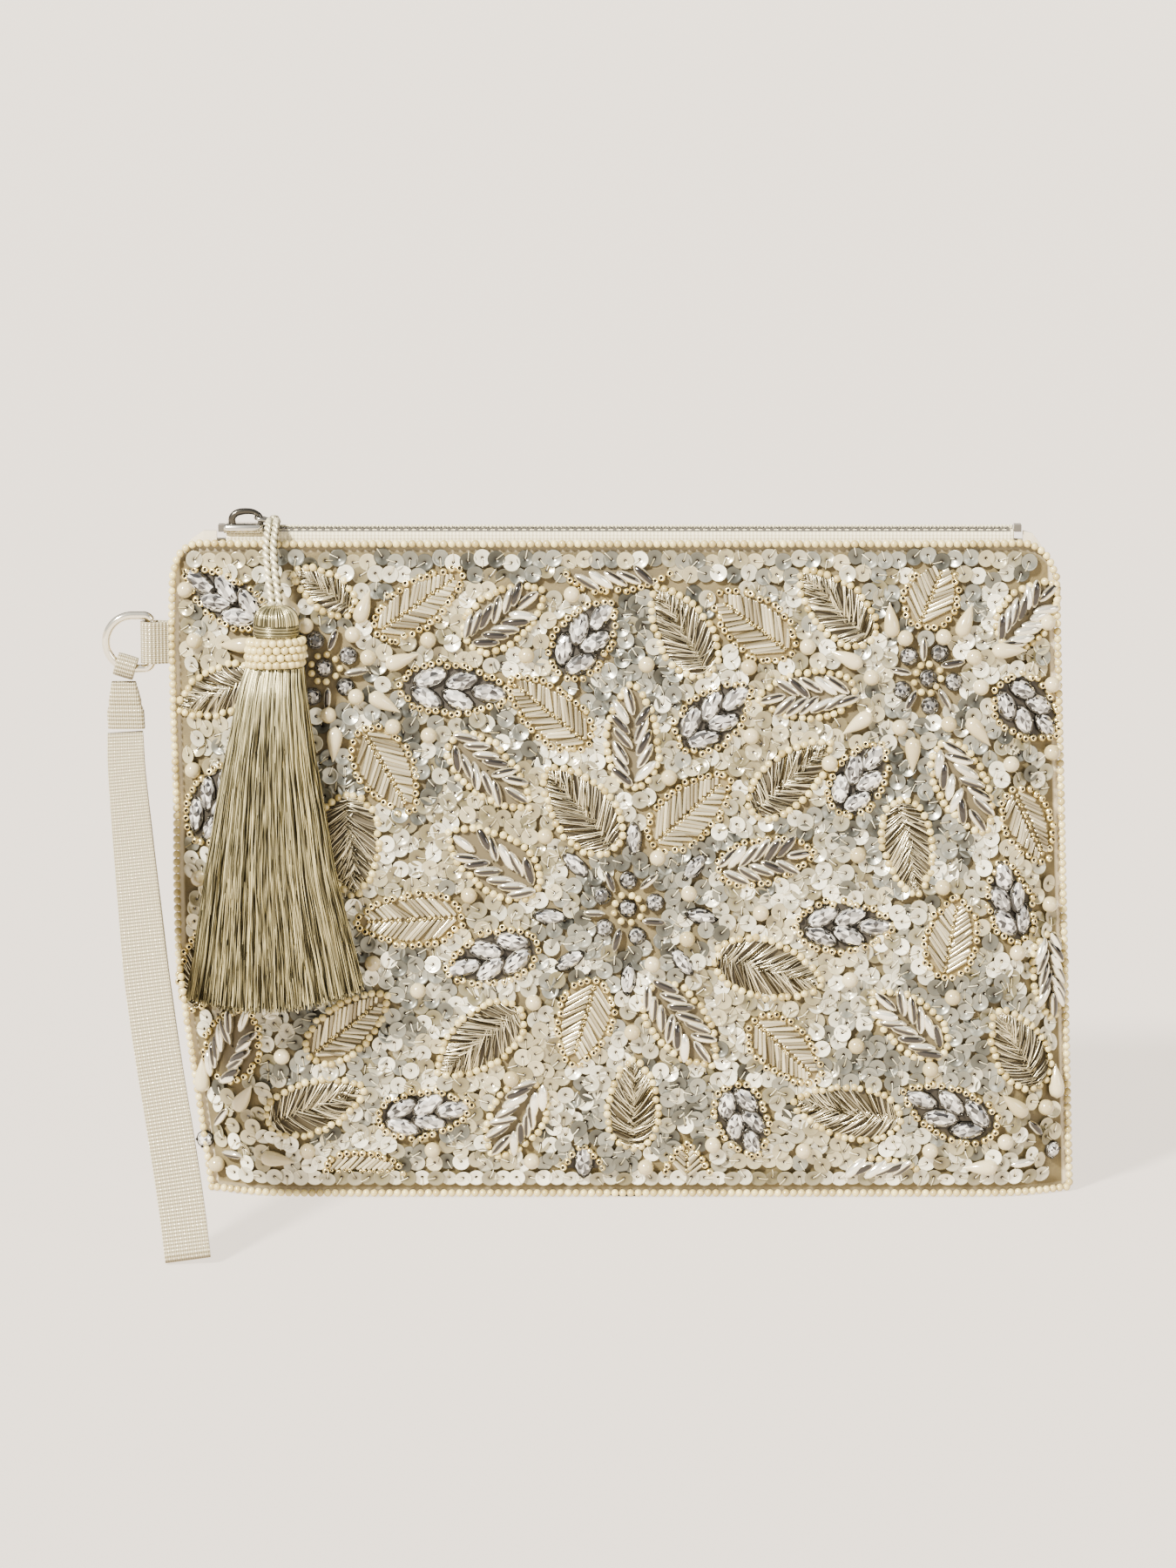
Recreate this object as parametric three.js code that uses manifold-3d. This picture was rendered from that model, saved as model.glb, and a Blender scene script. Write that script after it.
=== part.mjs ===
// A beaded evening pouch that stands on its base: two fabric panels with an embroidered front, a zip
// along the top with a tassel on its puller, and a wrist strap on a D-ring at the left side seam.
// Millimetres. +Z up, the embroidered front faces -Y, and the origin is on the floor under the base.
import * as THREE from "three";
import { mergeVertices } from "three/addons/utils/BufferGeometryUtils.js";
import Module from "manifold-3d";

const wasm = await Module();
wasm.setup();

// The pouch: its outline leans a little, so each side has a bottom and a top x.
const LEFT_BOTTOM = -119.8;
const LEFT_TOP = -129.4;
const RIGHT_BOTTOM = 128.8;
const RIGHT_TOP = 122;
const HEIGHT = 191;
const LEFT_CORNER_R = 8;
const RIGHT_CORNER_R = 10;
const HEM = 1.65; // half the thickness of the closed side seam
const EDGE_BLEND = 22; // how far in from a side seam the bulge reaches its full depth
const FRONT_BULGE = [[0, 9], [8, 12], [30, 15.5], [60, 16.5], [100, 14.5], [150, 9], [180, 5.4], [191, 4.6]];
const BACK_BULGE = [[0, 9], [8, 11], [30, 12], [60, 12.5], [100, 11], [150, 7.5], [180, 5.2], [191, 4.6]];
const PANEL_T = 1.5;
const SEAM_GAP = 0.3;
const BASE_SEAM_Y = 4; // the front panel turns under the base as far as this
const ROWS = [0, 3, 8, 16, 30, 48, 68, 90, 112, 134, 154, 170, 182, 188.4, 191];
const COLUMNS = [0, 0.012, 0.03, 0.06, 0.1, 0.16, 0.24, 0.34, 0.45, 0.55, 0.66, 0.76, 0.84, 0.9, 0.94, 0.97,
  0.988, 1];
const WIDE_COLUMNS = [-0.02, ...COLUMNS, 1.02]; // for what has to cut past both side seams

// The embroidery and the lining, as layers on the panels.
const GAP = 0.3;
const FIELD_T = 2;
const EDGE_BEAD_R = 1.15;
const LINING_GAP = 0.4;
const LINING_T = 0.6;
const LINING_ROWS = 12;
const POCKET = { x0: -58, x1: 62, z0: 62, z1: 128, thick: 0.6, gap: 0.4 };
const PAD_H = 1.4;
const PAD_LIFT = 0.6;
// Each leaf of set stones: x, z, the turn of its tip in degrees, length and width.
const CRYSTAL_LEAVES = [
  [-114.8, 175.4, 148, 28.7, 15], [-12, 163.7, 54, 27.5, 18], [-49, 148.7, -5, 33.5, 16.5],
  [25, 141.1, 40, 28, 17.5], [112.5, 142.9, -43, 24.5, 18], [66.8, 123.1, 57, 25.5, 17],
  [-116, 116.2, 63, 28, 16.5], [-39, 70.6, 198, 29.5, 17], [63, 80, 0, 30, 16.5],
  [109.8, 87.3, 103, 26, 14.5], [93.5, 25.6, 155, 31.5, 17], [33.8, 23, -70, 25.5, 16.5],
  [-58.5, 25, 9, 29, 16],
];
const ROSETTES = [[-86.5, 155.1], [86, 152], [0.3, 85.3]];
const ROSETTE_R = 10;

// The zip.
const TOOTH_PITCH = 2.25;
const TOOTH_W = 0.8;
const TEETH_X0 = -114.5;
const TEETH_X1 = 109.5;
const TEETH_Z0 = 193.4;
const TEETH_Z1 = 195.4;
const TAPE_Z0 = 176;
const TAPE_IN = 1.2;
const TAPE_OUT = 1.9;
const SLIDER_X = -109.7;
const SLIDER_L = 11;

// The puller and the tassel that hangs from it in front of the beads.
const PULLER_PIVOT = [-106.2, 197.6];
const EYE = [-101.5, 198.2];
const PULLER_WIRE_R = 0.6;
const PULLER_HALF_W = 1.9;
const LOOP_R = 1.7;
const LOOP_CORD_R = 0.7;
const TASSEL_X = -101.5;
const HEAD_Y = -18.4;
const HEAD_TOP = 174.3;
const NECK_END = 165.9;
const COLLAR_END = 157;
const SKIRT_END = 60;
const BEADS_OUT = 4.9; // how far the tassel keeps off the front panel

// The side tab, the D-ring and the wrist strap.
const BAR_X = -136.5;
const RING_Z = 161.3;
const RING_R = 7.7;
const RING_DEPTH = 13.1;
const RING_WIRE_R = 1.3;
const TAB_HALF_H = 6;
const ARC_X = BAR_X - RING_DEPTH + RING_R;
const EYE_TURN = 17; // degrees that the strap's turned end sits round the arc from its lowest point
const STRAP_T = 1.3;
// Down the middle of the strap's loop: x, y, z, and how far apart its two layers are.
const STRAP_LINE = [
  [-144.2, -2.2, 134.2, 1.7], [-143.5, -7.5, 125, 4.5], [-141.2, -18, 108, 9.5], [-138.5, -30, 90, 12.5],
  [-135.6, -42.5, 71, 13.2], [-132, -54.5, 52, 12.5], [-127.9, -66.5, 33, 9], [-124.3, -77.5, 15, 4.5],
  [-122.1, -86, 2.5, 2.2],
];
const EYE_HALF_W = 2.9;
const STRAP_W_TOP = 10.2;
const STRAP_W_BOTTOM = 12.7;
const STRAP_WIDENS_OVER = 0.5;

const CREAM = 0xeee4cc;
const SATIN = 0xe9dec6;
const PEARL = 0xf1e6c8;
const SILVER = 0xc9c7c2;
const DARK_SILVER = 0x8d8a84;
const PALE_GOLD = 0xd8cfb4;
const CHAMPAGNE = 0xb7b18f;

const group = new THREE.Group();

function add(name, geometry, color, roughness, metalness = 0) {
  const material = new THREE.MeshStandardMaterial({ color, roughness, metalness });
  const mesh = new THREE.Mesh(geometry, material);
  mesh.name = name;
  group.add(mesh);
}

const lerp = THREE.MathUtils.lerp;
const rad = THREE.MathUtils.degToRad;

// A value read off a list of [place, value] pairs.
function along(table, at) {
  const next = table.findIndex(([place]) => place > at);
  if (next === 0) return table[0][1];
  if (next < 0) return table[table.length - 1][1];
  const [[a, va], [b, vb]] = [table[next - 1], table[next]];
  const t = (at - a) / (b - a);
  return lerp(va, vb, t);
}

// A geometry from points and triangles, with points in one place joined and flat triangles dropped.
function geometryOf(points, triangles) {
  const loose = new THREE.BufferGeometry();
  loose.setAttribute("position", new THREE.Float32BufferAttribute(points.flat(), 3));
  loose.setIndex(triangles.flat());
  const merged = mergeVertices(loose, 1e-3);
  const index = merged.index.array;
  const kept = [];
  for (let i = 0; i < index.length; i += 3) {
    const [a, b, c] = index.slice(i, i + 3);
    if (a !== b && b !== c && c !== a) kept.push(a, b, c);
  }
  merged.setIndex(kept);
  return merged;
}

// A closed solid between two grids of points that face each other, the first one towards -Y.
function slab(near, far) {
  const rows = near.length;
  const columns = near[0].length;
  const points = [...near.flat(), ...far.flat()];
  const triangles = [];
  const nearAt = (i, j) => i * columns + j;
  const farAt = (i, j) => rows * columns + i * columns + j;
  const quad = (a, b, c, d) => triangles.push([a, b, c], [a, c, d]);
  for (let i = 0; i + 1 < rows; i++) {
    for (let j = 0; j + 1 < columns; j++) {
      quad(nearAt(i, j), nearAt(i, j + 1), nearAt(i + 1, j + 1), nearAt(i + 1, j));
      quad(farAt(i, j), farAt(i + 1, j), farAt(i + 1, j + 1), farAt(i, j + 1));
    }
    quad(nearAt(i, 0), nearAt(i + 1, 0), farAt(i + 1, 0), farAt(i, 0));
    const last = columns - 1;
    quad(nearAt(i, last), farAt(i, last), farAt(i + 1, last), nearAt(i + 1, last));
  }
  for (let j = 0; j + 1 < columns; j++) {
    quad(nearAt(0, j), farAt(0, j), farAt(0, j + 1), nearAt(0, j + 1));
    const top = rows - 1;
    quad(nearAt(top, j), nearAt(top, j + 1), farAt(top, j + 1), farAt(top, j));
  }
  return geometryOf(points, triangles);
}

// A closed solid through a row of rings with equal counts of points. An open row gets flat ends.
function loft(rings, closed = false) {
  const count = rings[0].length;
  const points = rings.flat();
  const triangles = [];
  const spans = closed ? rings.length : rings.length - 1;
  for (let i = 0; i < spans; i++) {
    const next = (i + 1) % rings.length;
    for (let j = 0; j < count; j++) {
      const k = (j + 1) % count;
      const [a, b] = [i * count + j, i * count + k];
      const [c, d] = [next * count + k, next * count + j];
      triangles.push([a, b, c], [a, c, d]);
    }
  }
  const middle = (ring) => [0, 1, 2].map((k) => ring.reduce((sum, p) => sum + p[k], 0) / count);
  if (!closed) {
    const first = points.push(middle(rings[0])) - 1;
    const last = points.push(middle(rings[rings.length - 1])) - 1;
    const end = (rings.length - 1) * count;
    for (let j = 0; j < count; j++) {
      const k = (j + 1) % count;
      triangles.push([first, k, j], [last, end + j, end + k]);
    }
  }
  return outward(geometryOf(points, triangles));
}

// The same solid with its faces turned out, whichever way its rings ran.
function outward(geometry) {
  const [p, index] = [geometry.attributes.position, geometry.index.array];
  const [a, b, c] = [new THREE.Vector3(), new THREE.Vector3(), new THREE.Vector3()];
  let volume = 0;
  for (let i = 0; i < index.length; i += 3) {
    a.fromBufferAttribute(p, index[i]);
    b.fromBufferAttribute(p, index[i + 1]);
    c.fromBufferAttribute(p, index[i + 2]);
    volume += a.dot(b.cross(c));
  }
  if (volume < 0) geometry.setIndex(Array.from(index).reverse());
  return geometry;
}

// A ring of points round a centre, on two half-axes given as vectors.
function oval(centre, sideways, across, sides, square = 1) {
  return Array.from({ length: sides }, (_, i) => {
    const turn = (2 * Math.PI * (i + 0.5)) / sides;
    const c = Math.sign(Math.cos(turn)) * Math.abs(Math.cos(turn)) ** square;
    const s = Math.sign(Math.sin(turn)) * Math.abs(Math.sin(turn)) ** square;
    return [0, 1, 2].map((k) => centre[k] + c * sideways[k] + s * across[k]);
  });
}

// A round wire through points that lie in one plane, given that plane's normal.
function wire(line, radius, normal, sides, closed) {
  const last = line.length - 1;
  const rings = line.map((point, i) => {
    const before = line[closed ? (i + last) % line.length : Math.max(i - 1, 0)];
    const after = line[closed ? (i + 1) % line.length : Math.min(i + 1, last)];
    const run = new THREE.Vector3(...after).sub(new THREE.Vector3(...before)).normalize();
    const across = new THREE.Vector3(...normal).cross(run).normalize();
    const side = run.clone().cross(across).normalize();
    across.multiplyScalar(radius);
    side.multiplyScalar(radius);
    return oval(point, across.toArray(), side.toArray(), sides);
  });
  return loft(rings, closed);
}

function solid(geometry) {
  const triVerts = new Uint32Array(geometry.index.array);
  const vertProperties = new Float32Array(geometry.attributes.position.array);
  return new wasm.Manifold(new wasm.Mesh({ numProp: 3, vertProperties, triVerts }));
}

function meshOf(made) {
  const mesh = made.getMesh();
  const geometry = new THREE.BufferGeometry();
  geometry.setAttribute("position", new THREE.BufferAttribute(Float32Array.from(mesh.vertProperties), 3));
  geometry.setIndex(new THREE.BufferAttribute(Uint32Array.from(mesh.triVerts), 1));
  return geometry;
}

// A flat outline pushed through a thickness. axes says which world axes its two numbers are.
function prism(outline, axes, from, to) {
  const third = [0, 1, 2].find((k) => !axes.includes(k));
  const place = (depth) => ([a, b]) => {
    const p = [0, 0, 0];
    p[axes[0]] = a;
    p[axes[1]] = b;
    p[third] = depth;
    return p;
  };
  const flat = outline.map(([a, b]) => new THREE.Vector2(a, b));
  const faces = THREE.ShapeUtils.triangulateShape(flat, []);
  const count = outline.length;
  const points = [...outline.map(place(from)), ...outline.map(place(to))];
  const triangles = [];
  const turned = THREE.ShapeUtils.isClockWise(flat);
  for (const [a, b, c] of faces) triangles.push([a, c, b], [a + count, b + count, c + count]);
  for (let i = 0; i < count; i++) {
    const next = (i + 1) % count;
    const side = [[i, next, next + count], [i, next + count, i + count]];
    triangles.push(...(turned ? side.map(([a, b, c]) => [a, c, b]) : side));
  }
  return outward(geometryOf(points, triangles));
}

// The pouch's outline and depth.
function sideX(z, left) {
  const t = z / HEIGHT;
  return left ? lerp(LEFT_BOTTOM, LEFT_TOP, t) : lerp(RIGHT_BOTTOM, RIGHT_TOP, t);
}

function topZ(x) {
  const fromLeft = Math.max(LEFT_CORNER_R - (x - LEFT_TOP), 0);
  const fromRight = Math.max(RIGHT_CORNER_R - (RIGHT_TOP - x), 0);
  const drop = (r, d) => r - Math.sqrt(Math.max(r * r - Math.min(d, r) ** 2, 0));
  return HEIGHT - drop(LEFT_CORNER_R, fromLeft) - drop(RIGHT_CORNER_R, fromRight);
}

function depth(x, z, table) {
  const fromSide = Math.max(Math.min(x - sideX(z, true), sideX(z, false) - x), 0);
  const rise = Math.sin((Math.PI / 2) * Math.min(fromSide / EDGE_BLEND, 1));
  return HEM + (along(table, z) - HEM) * rise;
}

// A grid of the pouch's own rows and columns, in from its edges by some steps, as a layer on one side.
function layer(table, side, off, { inset = 0, rows = ROWS.length - 1 } = {}) {
  return ROWS.slice(inset, rows + 1 - (rows === ROWS.length - 1 ? inset : 0)).map((row) =>
    COLUMNS.slice(inset, COLUMNS.length - inset).map((column) => {
      const x = lerp(sideX(row, true), sideX(row, false), column);
      const z = (row / HEIGHT) * topZ(x);
      return [x, side * (depth(x, z, table) + off), z];
    }),
  );
}

// The hollow inside the panels, which also runs out past the side seams and the mouth.
function hollowSide(table, side) {
  return ROWS.map((row, i) =>
    WIDE_COLUMNS.map((column) => {
      const x = lerp(sideX(row, true), sideX(row, false), column);
      const z = (row / HEIGHT) * topZ(x);
      const inside = depth(x, z, table) - PANEL_T;
      const height = i === 0 ? PANEL_T : i === ROWS.length - 1 ? HEIGHT + 5 : z;
      return [x, side * Math.max(inside, SEAM_GAP / 2), height];
    }),
  );
}

function panels() {
  const outer = solid(slab(layer(FRONT_BULGE, -1, 0), layer(BACK_BULGE, 1, 0)));
  const hollow = solid(slab(hollowSide(FRONT_BULGE, -1), hollowSide(BACK_BULGE, 1)));
  const seamY = (x) => {
    const fromSide = Math.max(Math.min(x - LEFT_BOTTOM, RIGHT_BOTTOM - x), 0);
    return BASE_SEAM_Y * Math.sin((Math.PI / 2) * Math.min(fromSide / EDGE_BLEND, 1));
  };
  const cut = (off) =>
    [-1, PANEL_T + 0.2].map((z) =>
      WIDE_COLUMNS.map((column) => {
        const x = lerp(LEFT_BOTTOM, RIGHT_BOTTOM, column);
        return [x, seamY(x) + off, z];
      }),
    );
  const seam = solid(slab(cut(-SEAM_GAP / 2), cut(SEAM_GAP / 2)));
  const pieces = outer.subtract(hollow).subtract(seam).decompose();
  const bySize = pieces.filter((piece) => piece.volume() > 100);
  bySize.sort((a, b) => a.boundingBox().min[1] - b.boundingBox().min[1]);
  add("front_panel", meshOf(bySize[0]), SATIN, 0.8);
  add("back_panel", meshOf(bySize[1]), SATIN, 0.55);
}

function linings() {
  const near = PANEL_T + LINING_GAP;
  const far = near + LINING_T;
  const rows = { inset: 1, rows: LINING_ROWS - 1 };
  const front = [layer(FRONT_BULGE, -1, -near, rows), layer(FRONT_BULGE, -1, -far, rows)];
  const back = [layer(BACK_BULGE, 1, -far, rows), layer(BACK_BULGE, 1, -near, rows)];
  add("front_lining", slab(...front), CREAM, 0.7);
  add("back_lining", slab(...back), CREAM, 0.7);
}

function slipPocket() {
  const off = PANEL_T + LINING_GAP + LINING_T + POCKET.gap;
  const face = (extra) =>
    [0, 0.34, 0.67, 1].map((v) =>
      [0, 0.25, 0.5, 0.75, 1].map((u) => {
        const [x, z] = [lerp(POCKET.x0, POCKET.x1, u), lerp(POCKET.z0, POCKET.z1, v)];
        return [x, depth(x, z, BACK_BULGE) - off - extra, z];
      }),
    );
  add("slip_pocket", slab(face(POCKET.thick), face(0)), CREAM, 0.7);
}

function embroidery() {
  const inner = layer(FRONT_BULGE, -1, GAP, { inset: 1 });
  const outer = layer(FRONT_BULGE, -1, GAP + FIELD_T, { inset: 1 });
  add("bead_field", slab(outer, inner), PEARL, 0.4);
  const lift = GAP + FIELD_T + PAD_LIFT;
  CRYSTAL_LEAVES.forEach(([x, z, turn, length, width], i) => {
    const name = "crystal_leaf_" + String(i + 1).padStart(2, "0");
    add(name, pad(x, z, turn, length / 2, width / 2, lift), DARK_SILVER, 0.2, 0.6);
  });
  ROSETTES.forEach(([x, z], i) => add("rosette_" + (i + 1), pad(x, z, 0, ROSETTE_R, ROSETTE_R, lift),
    DARK_SILVER, 0.25, 0.6));
}

// A low pad on the beads. Its tip is drawn out unless it is round.
function pad(x, z, turn, halfLength, halfWidth, lift) {
  const sides = 10;
  const sharp = halfLength > halfWidth ? 0.35 : 0;
  const [c, s] = [Math.cos(rad(turn)), Math.sin(rad(turn))];
  const ring = (scale, out) =>
    Array.from({ length: sides }, (_, i) => {
      const at = (2 * Math.PI * i) / sides;
      const a = Math.cos(at) * halfLength * scale;
      const b = Math.sin(at) * (1 - sharp * Math.max(Math.cos(at), 0)) * halfWidth * scale;
      const [px, pz] = [x + a * c - b * s, z + a * s + b * c];
      return [px, -(depth(px, pz, FRONT_BULGE) + lift + out), pz];
    });
  return loft([ring(0.4, 0), ring(0.75, 0), ring(1, 0), ring(0.94, PAD_H * 0.6), ring(0.6, PAD_H)]);
}

// The single row of beads round the outline of the front.
function edgeBeads() {
  const off = EDGE_BEAD_R + GAP;
  const line = [];
  const front = (x, z) => -(depth(x, z, FRONT_BULGE) + off + 0.05);
  const sides = ROWS.slice(1, -2);
  const ends = COLUMNS.slice(1, -1);
  for (const z of sides) line.push([sideX(z, true) - 0.5, -HEM - off - 0.2, z]);
  for (const column of ends) {
    const x = lerp(LEFT_TOP, RIGHT_TOP, column);
    line.push([x, front(x, topZ(x)), topZ(x) - 0.6]);
  }
  for (const z of [...sides].reverse()) line.push([sideX(z, false) + 0.5, -HEM - off - 0.2, z]);
  for (const column of [...ends].reverse()) {
    const x = lerp(LEFT_BOTTOM, RIGHT_BOTTOM, column);
    line.push([x, front(x, 1.3), 1.3]);
  }
  const rings = line.map((point, i) => {
    const before = new THREE.Vector3(...line[(i + line.length - 1) % line.length]);
    const run = new THREE.Vector3(...line[(i + 1) % line.length]).sub(before).normalize();
    const out = new THREE.Vector3(0, -1, 0).cross(run).normalize();
    const up = run.clone().cross(out).normalize();
    const r = EDGE_BEAD_R;
    return oval(point, out.multiplyScalar(r).toArray(), up.multiplyScalar(r).toArray(), 6);
  });
  add("edge_beads", loft(rings, true), PEARL, 0.3);
}

// The zip: two tapes inside the mouth, a row of teeth on each, and a fabric fold at each end.
function zip() {
  for (const [name, side] of [["front", -1], ["back", 1]]) {
    const [y0, y1] = [side * TAPE_IN, side * TAPE_OUT];
    const strip = [[TEETH_X0, TAPE_Z0], [TEETH_X1 + 1, TAPE_Z0], [TEETH_X1 + 1, TEETH_Z0 - GAP],
      [TEETH_X0, TEETH_Z0 - GAP]];
    add(name + "_zip_tape", prism(strip, [0, 2], Math.min(y0, y1), Math.max(y0, y1)), CREAM, 0.8);
    add(name + "_zip_teeth", prism(comb(side), [0, 1], TEETH_Z0, TEETH_Z1), SILVER, 0.25, 1);
  }
  const stop = (x) => prism([[x, -2.1], [x + 2, -2.1], [x + 2, 2.1], [x, 2.1]], [0, 1], TEETH_Z0, TEETH_Z1);
  add("zip_top_stop", stop(TEETH_X0 - 2.4), SILVER, 0.25, 1);
  add("zip_bottom_stop", stop(TEETH_X1 + 1.2), SILVER, 0.25, 1);
  add("left_zip_end", zipEnd(-125, -117.4), SATIN, 0.5);
  add("right_zip_end", zipEnd(118.5, 113.2), SATIN, 0.5);
}

// One row of teeth in plan: a spine with a tooth every pitch, set half a pitch over on the back row.
function comb(side) {
  const outline = [];
  const reach = -side * 1.1;
  const count = Math.floor((TEETH_X1 - TEETH_X0) / TOOTH_PITCH);
  for (let i = 0; i < count; i++) {
    const x = TEETH_X0 + TOOTH_PITCH * (i + (side > 0 ? 0.75 : 0.25));
    outline.push([x - TOOTH_W / 2, side * 1.4], [x - TOOTH_W / 2.6, reach]);
    outline.push([x + TOOTH_W / 2.6, reach], [x + TOOTH_W / 2, side * 1.4]);
  }
  outline.push([TEETH_X1, side * 1.4], [TEETH_X1, side * 2.1], [TEETH_X0, side * 2.1]);
  outline.push([TEETH_X0, side * 1.4]);
  return outline;
}

// The satin fold that closes one end of the zip, thinner towards the corner of the pouch.
function zipEnd(outerX, innerX) {
  const face = (side, table) =>
    [0, 1].map((v) =>
      [0, 0.5, 1].map((u) => {
        const x = lerp(Math.min(outerX, innerX), Math.max(outerX, innerX), u);
        const z = lerp(180, topZ(x) + (Math.abs(x - outerX) < 1 ? 0.8 : 2.6), v);
        const room = Math.min(depth(x, 180, table), depth(x, topZ(x), table)) - PANEL_T - 0.35;
        return [x, side * Math.min(room, 1.2), z];
      }),
    );
  return slab(face(-1, FRONT_BULGE), face(1, BACK_BULGE));
}

// The slider's body, open below so that it can ride over the teeth, with a crown that holds the puller.
function slider() {
  const channel = [[-3.9, 193.9], [-3.9, 196.1], [-3.5, 196.5], [3.5, 196.5], [3.9, 196.1], [3.9, 193.9],
    [2.8, 193.9], [2.8, 195.7], [-2.8, 195.7], [-2.8, 193.9]];
  const [x0, x1] = [SLIDER_X - SLIDER_L / 2, SLIDER_X + SLIDER_L / 2];
  const body = solid(prism(channel, [1, 2], x0, x1));
  const arch = [[-2.9, 196.3], [-2.9, 197.9], [-1.5, 199.2], [0.1, 199.6], [2.7, 199.6], [4.5, 199],
    [5.4, 197.8], [5.4, 196.3], [4.5, 196.3], [4.5, 197.7], [4, 198.4], [2.7, 198.7], [0.1, 198.7],
    [-1.3, 198.3], [-2, 197.6], [-2, 196.3]];
  const crown = solid(prism(arch.map(([x, z]) => [SLIDER_X + x, z]), [0, 2], -0.9, 0.9));
  const whole = body.add(crown);
  add("zip_slider", meshOf(whole), SILVER, 0.25, 1);
}

// The puller is an oval wire loop through the crown. The tassel's loop goes round its far end.
function puller() {
  const [px, pz] = PULLER_PIVOT;
  const [ex, ez] = EYE;
  const length = Math.hypot(ex - px, ez - pz);
  const [c, s] = [(ex - px) / length, (ez - pz) / length];
  const corner = 1.6;
  const line = [];
  const turns = [[corner, -1, 180], [length - corner, -1, 270], [length - corner, 1, 0], [corner, 1, 90]];
  for (const [at, side, start] of turns) {
    for (const step of [0, 30, 60, 90]) {
      const turn = rad(start + step);
      const a = at + corner * Math.cos(turn);
      const b = side * (PULLER_HALF_W - corner) + corner * Math.sin(turn);
      line.push([px + a * c, b, pz + a * s]);
    }
  }
  add("zip_puller", wire(line, PULLER_WIRE_R, [-s, 0, c], 6, true), DARK_SILVER, 0.3, 1);
  const ring = Array.from({ length: 12 }, (_, i) => {
    const turn = (2 * Math.PI * i) / 12;
    return [ex + LOOP_R * Math.cos(turn), 0, ez + LOOP_R * Math.sin(turn)];
  });
  add("tassel_loop", wire(ring, LOOP_CORD_R, [0, 1, 0], 6, true), CHAMPAGNE, 0.45, 0.4);
}

function tassel() {
  const cordLine = [[-3.2, 197.2], [-5.5, 197], [-8.5, 196.2], [-12, 193.2], [-14.6, 188], [-16.6, 182],
    [HEAD_Y, HEAD_TOP + 2 * GAP]];
  const cord = cordLine.map(([y, z], i) => {
    const [y0, z0] = cordLine[Math.max(i - 1, 0)];
    const [y1, z1] = cordLine[Math.min(i + 1, cordLine.length - 1)];
    const run = Math.hypot(y1 - y0, z1 - z0);
    const across = [0, (-(z1 - z0) / run) * 1.1, ((y1 - y0) / run) * 1.1];
    return oval([TASSEL_X, y, z], [2.2, 0, 0], across, 10, 0.8);
  });
  add("tassel_cord", loft(cord), CHAMPAGNE, 0.45, 0.4);
  const round = (stations, sides) =>
    loft(stations.map(([y, z, a, b]) => oval([TASSEL_X, y, z], [a, 0, 0], [0, b, 0], sides)));
  const headLine = [[HEAD_TOP, 2.4], [HEAD_TOP - 0.9, 4.6], [HEAD_TOP - 2.6, 6], [HEAD_TOP - 5, 6.3],
    [NECK_END, 6.1]];
  const head = round(headLine.map(([z, r]) => [HEAD_Y, z, r, Math.min(r, 6)]), 12);
  add("tassel_head", head, CHAMPAGNE, 0.45, 0.4);
  const collarLine = [[NECK_END - GAP, 7.8, 5.2], [NECK_END - 2, 9.5, 6.4], [COLLAR_END + 1.6, 9.5, 6.4],
    [COLLAR_END, 8.2, 5.4]];
  add("tassel_collar", round(collarLine.map(([z, a, b]) => [HEAD_Y - 0.6, z, a, b]), 12), PEARL, 0.35);
  const skirtLine = [[COLLAR_END - GAP, 8.6, 5.2], [148, 10.4, 6], [134, 13, 6.6], [118, 16, 7],
    [100, 19, 7.3], [80, 22.4, 7.4], [SKIRT_END, 25.2, 7.4]];
  const hang = ([z, a, b]) => [-(along(FRONT_BULGE, z) + BEADS_OUT + b), z, a, b];
  add("tassel_skirt", round(skirtLine.map(hang), 14), CHAMPAGNE, 0.45, 0.4);
}

// The folded tab in the side seam and the D-ring that it holds.
function sideTab() {
  const root = sideX(RING_Z + TAB_HALF_H, true) - 0.35;
  const arc = (r, from, to) =>
    [0, 1, 2, 3, 4, 5, 6].map((i) => {
      const turn = rad(lerp(from, to, i / 6));
      return [BAR_X + r * Math.cos(turn), r * Math.sin(turn)];
    });
  const outline = [[root, -1.65], ...arc(3.3, -60, -300), [root, 1.65], [root, 0.2], ...arc(2, -310, -50),
    [root, -0.2]];
  const tab = prism(outline, [0, 1], RING_Z - TAB_HALF_H, RING_Z + TAB_HALF_H);
  add("side_tab", tab, CREAM, 0.8);
  const corner = 2.2;
  const line = [];
  const push = (cx, cz, r, from, to, steps) => {
    for (let i = 0; i <= steps; i++) {
      const turn = rad(lerp(from, to, i / steps));
      line.push([cx + r * Math.cos(turn), 0, cz + r * Math.sin(turn)]);
    }
  };
  push(BAR_X - corner, RING_Z - RING_R + corner, corner, 0, -90, 3);
  push(ARC_X, RING_Z, RING_R, -90, -270, 10);
  push(BAR_X - corner, RING_Z + RING_R - corner, corner, 90, 0, 3);
  add("d_ring", wire(line, RING_WIRE_R, [0, 1, 0], 8, true), PALE_GOLD, 0.2, 1);
}

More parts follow.
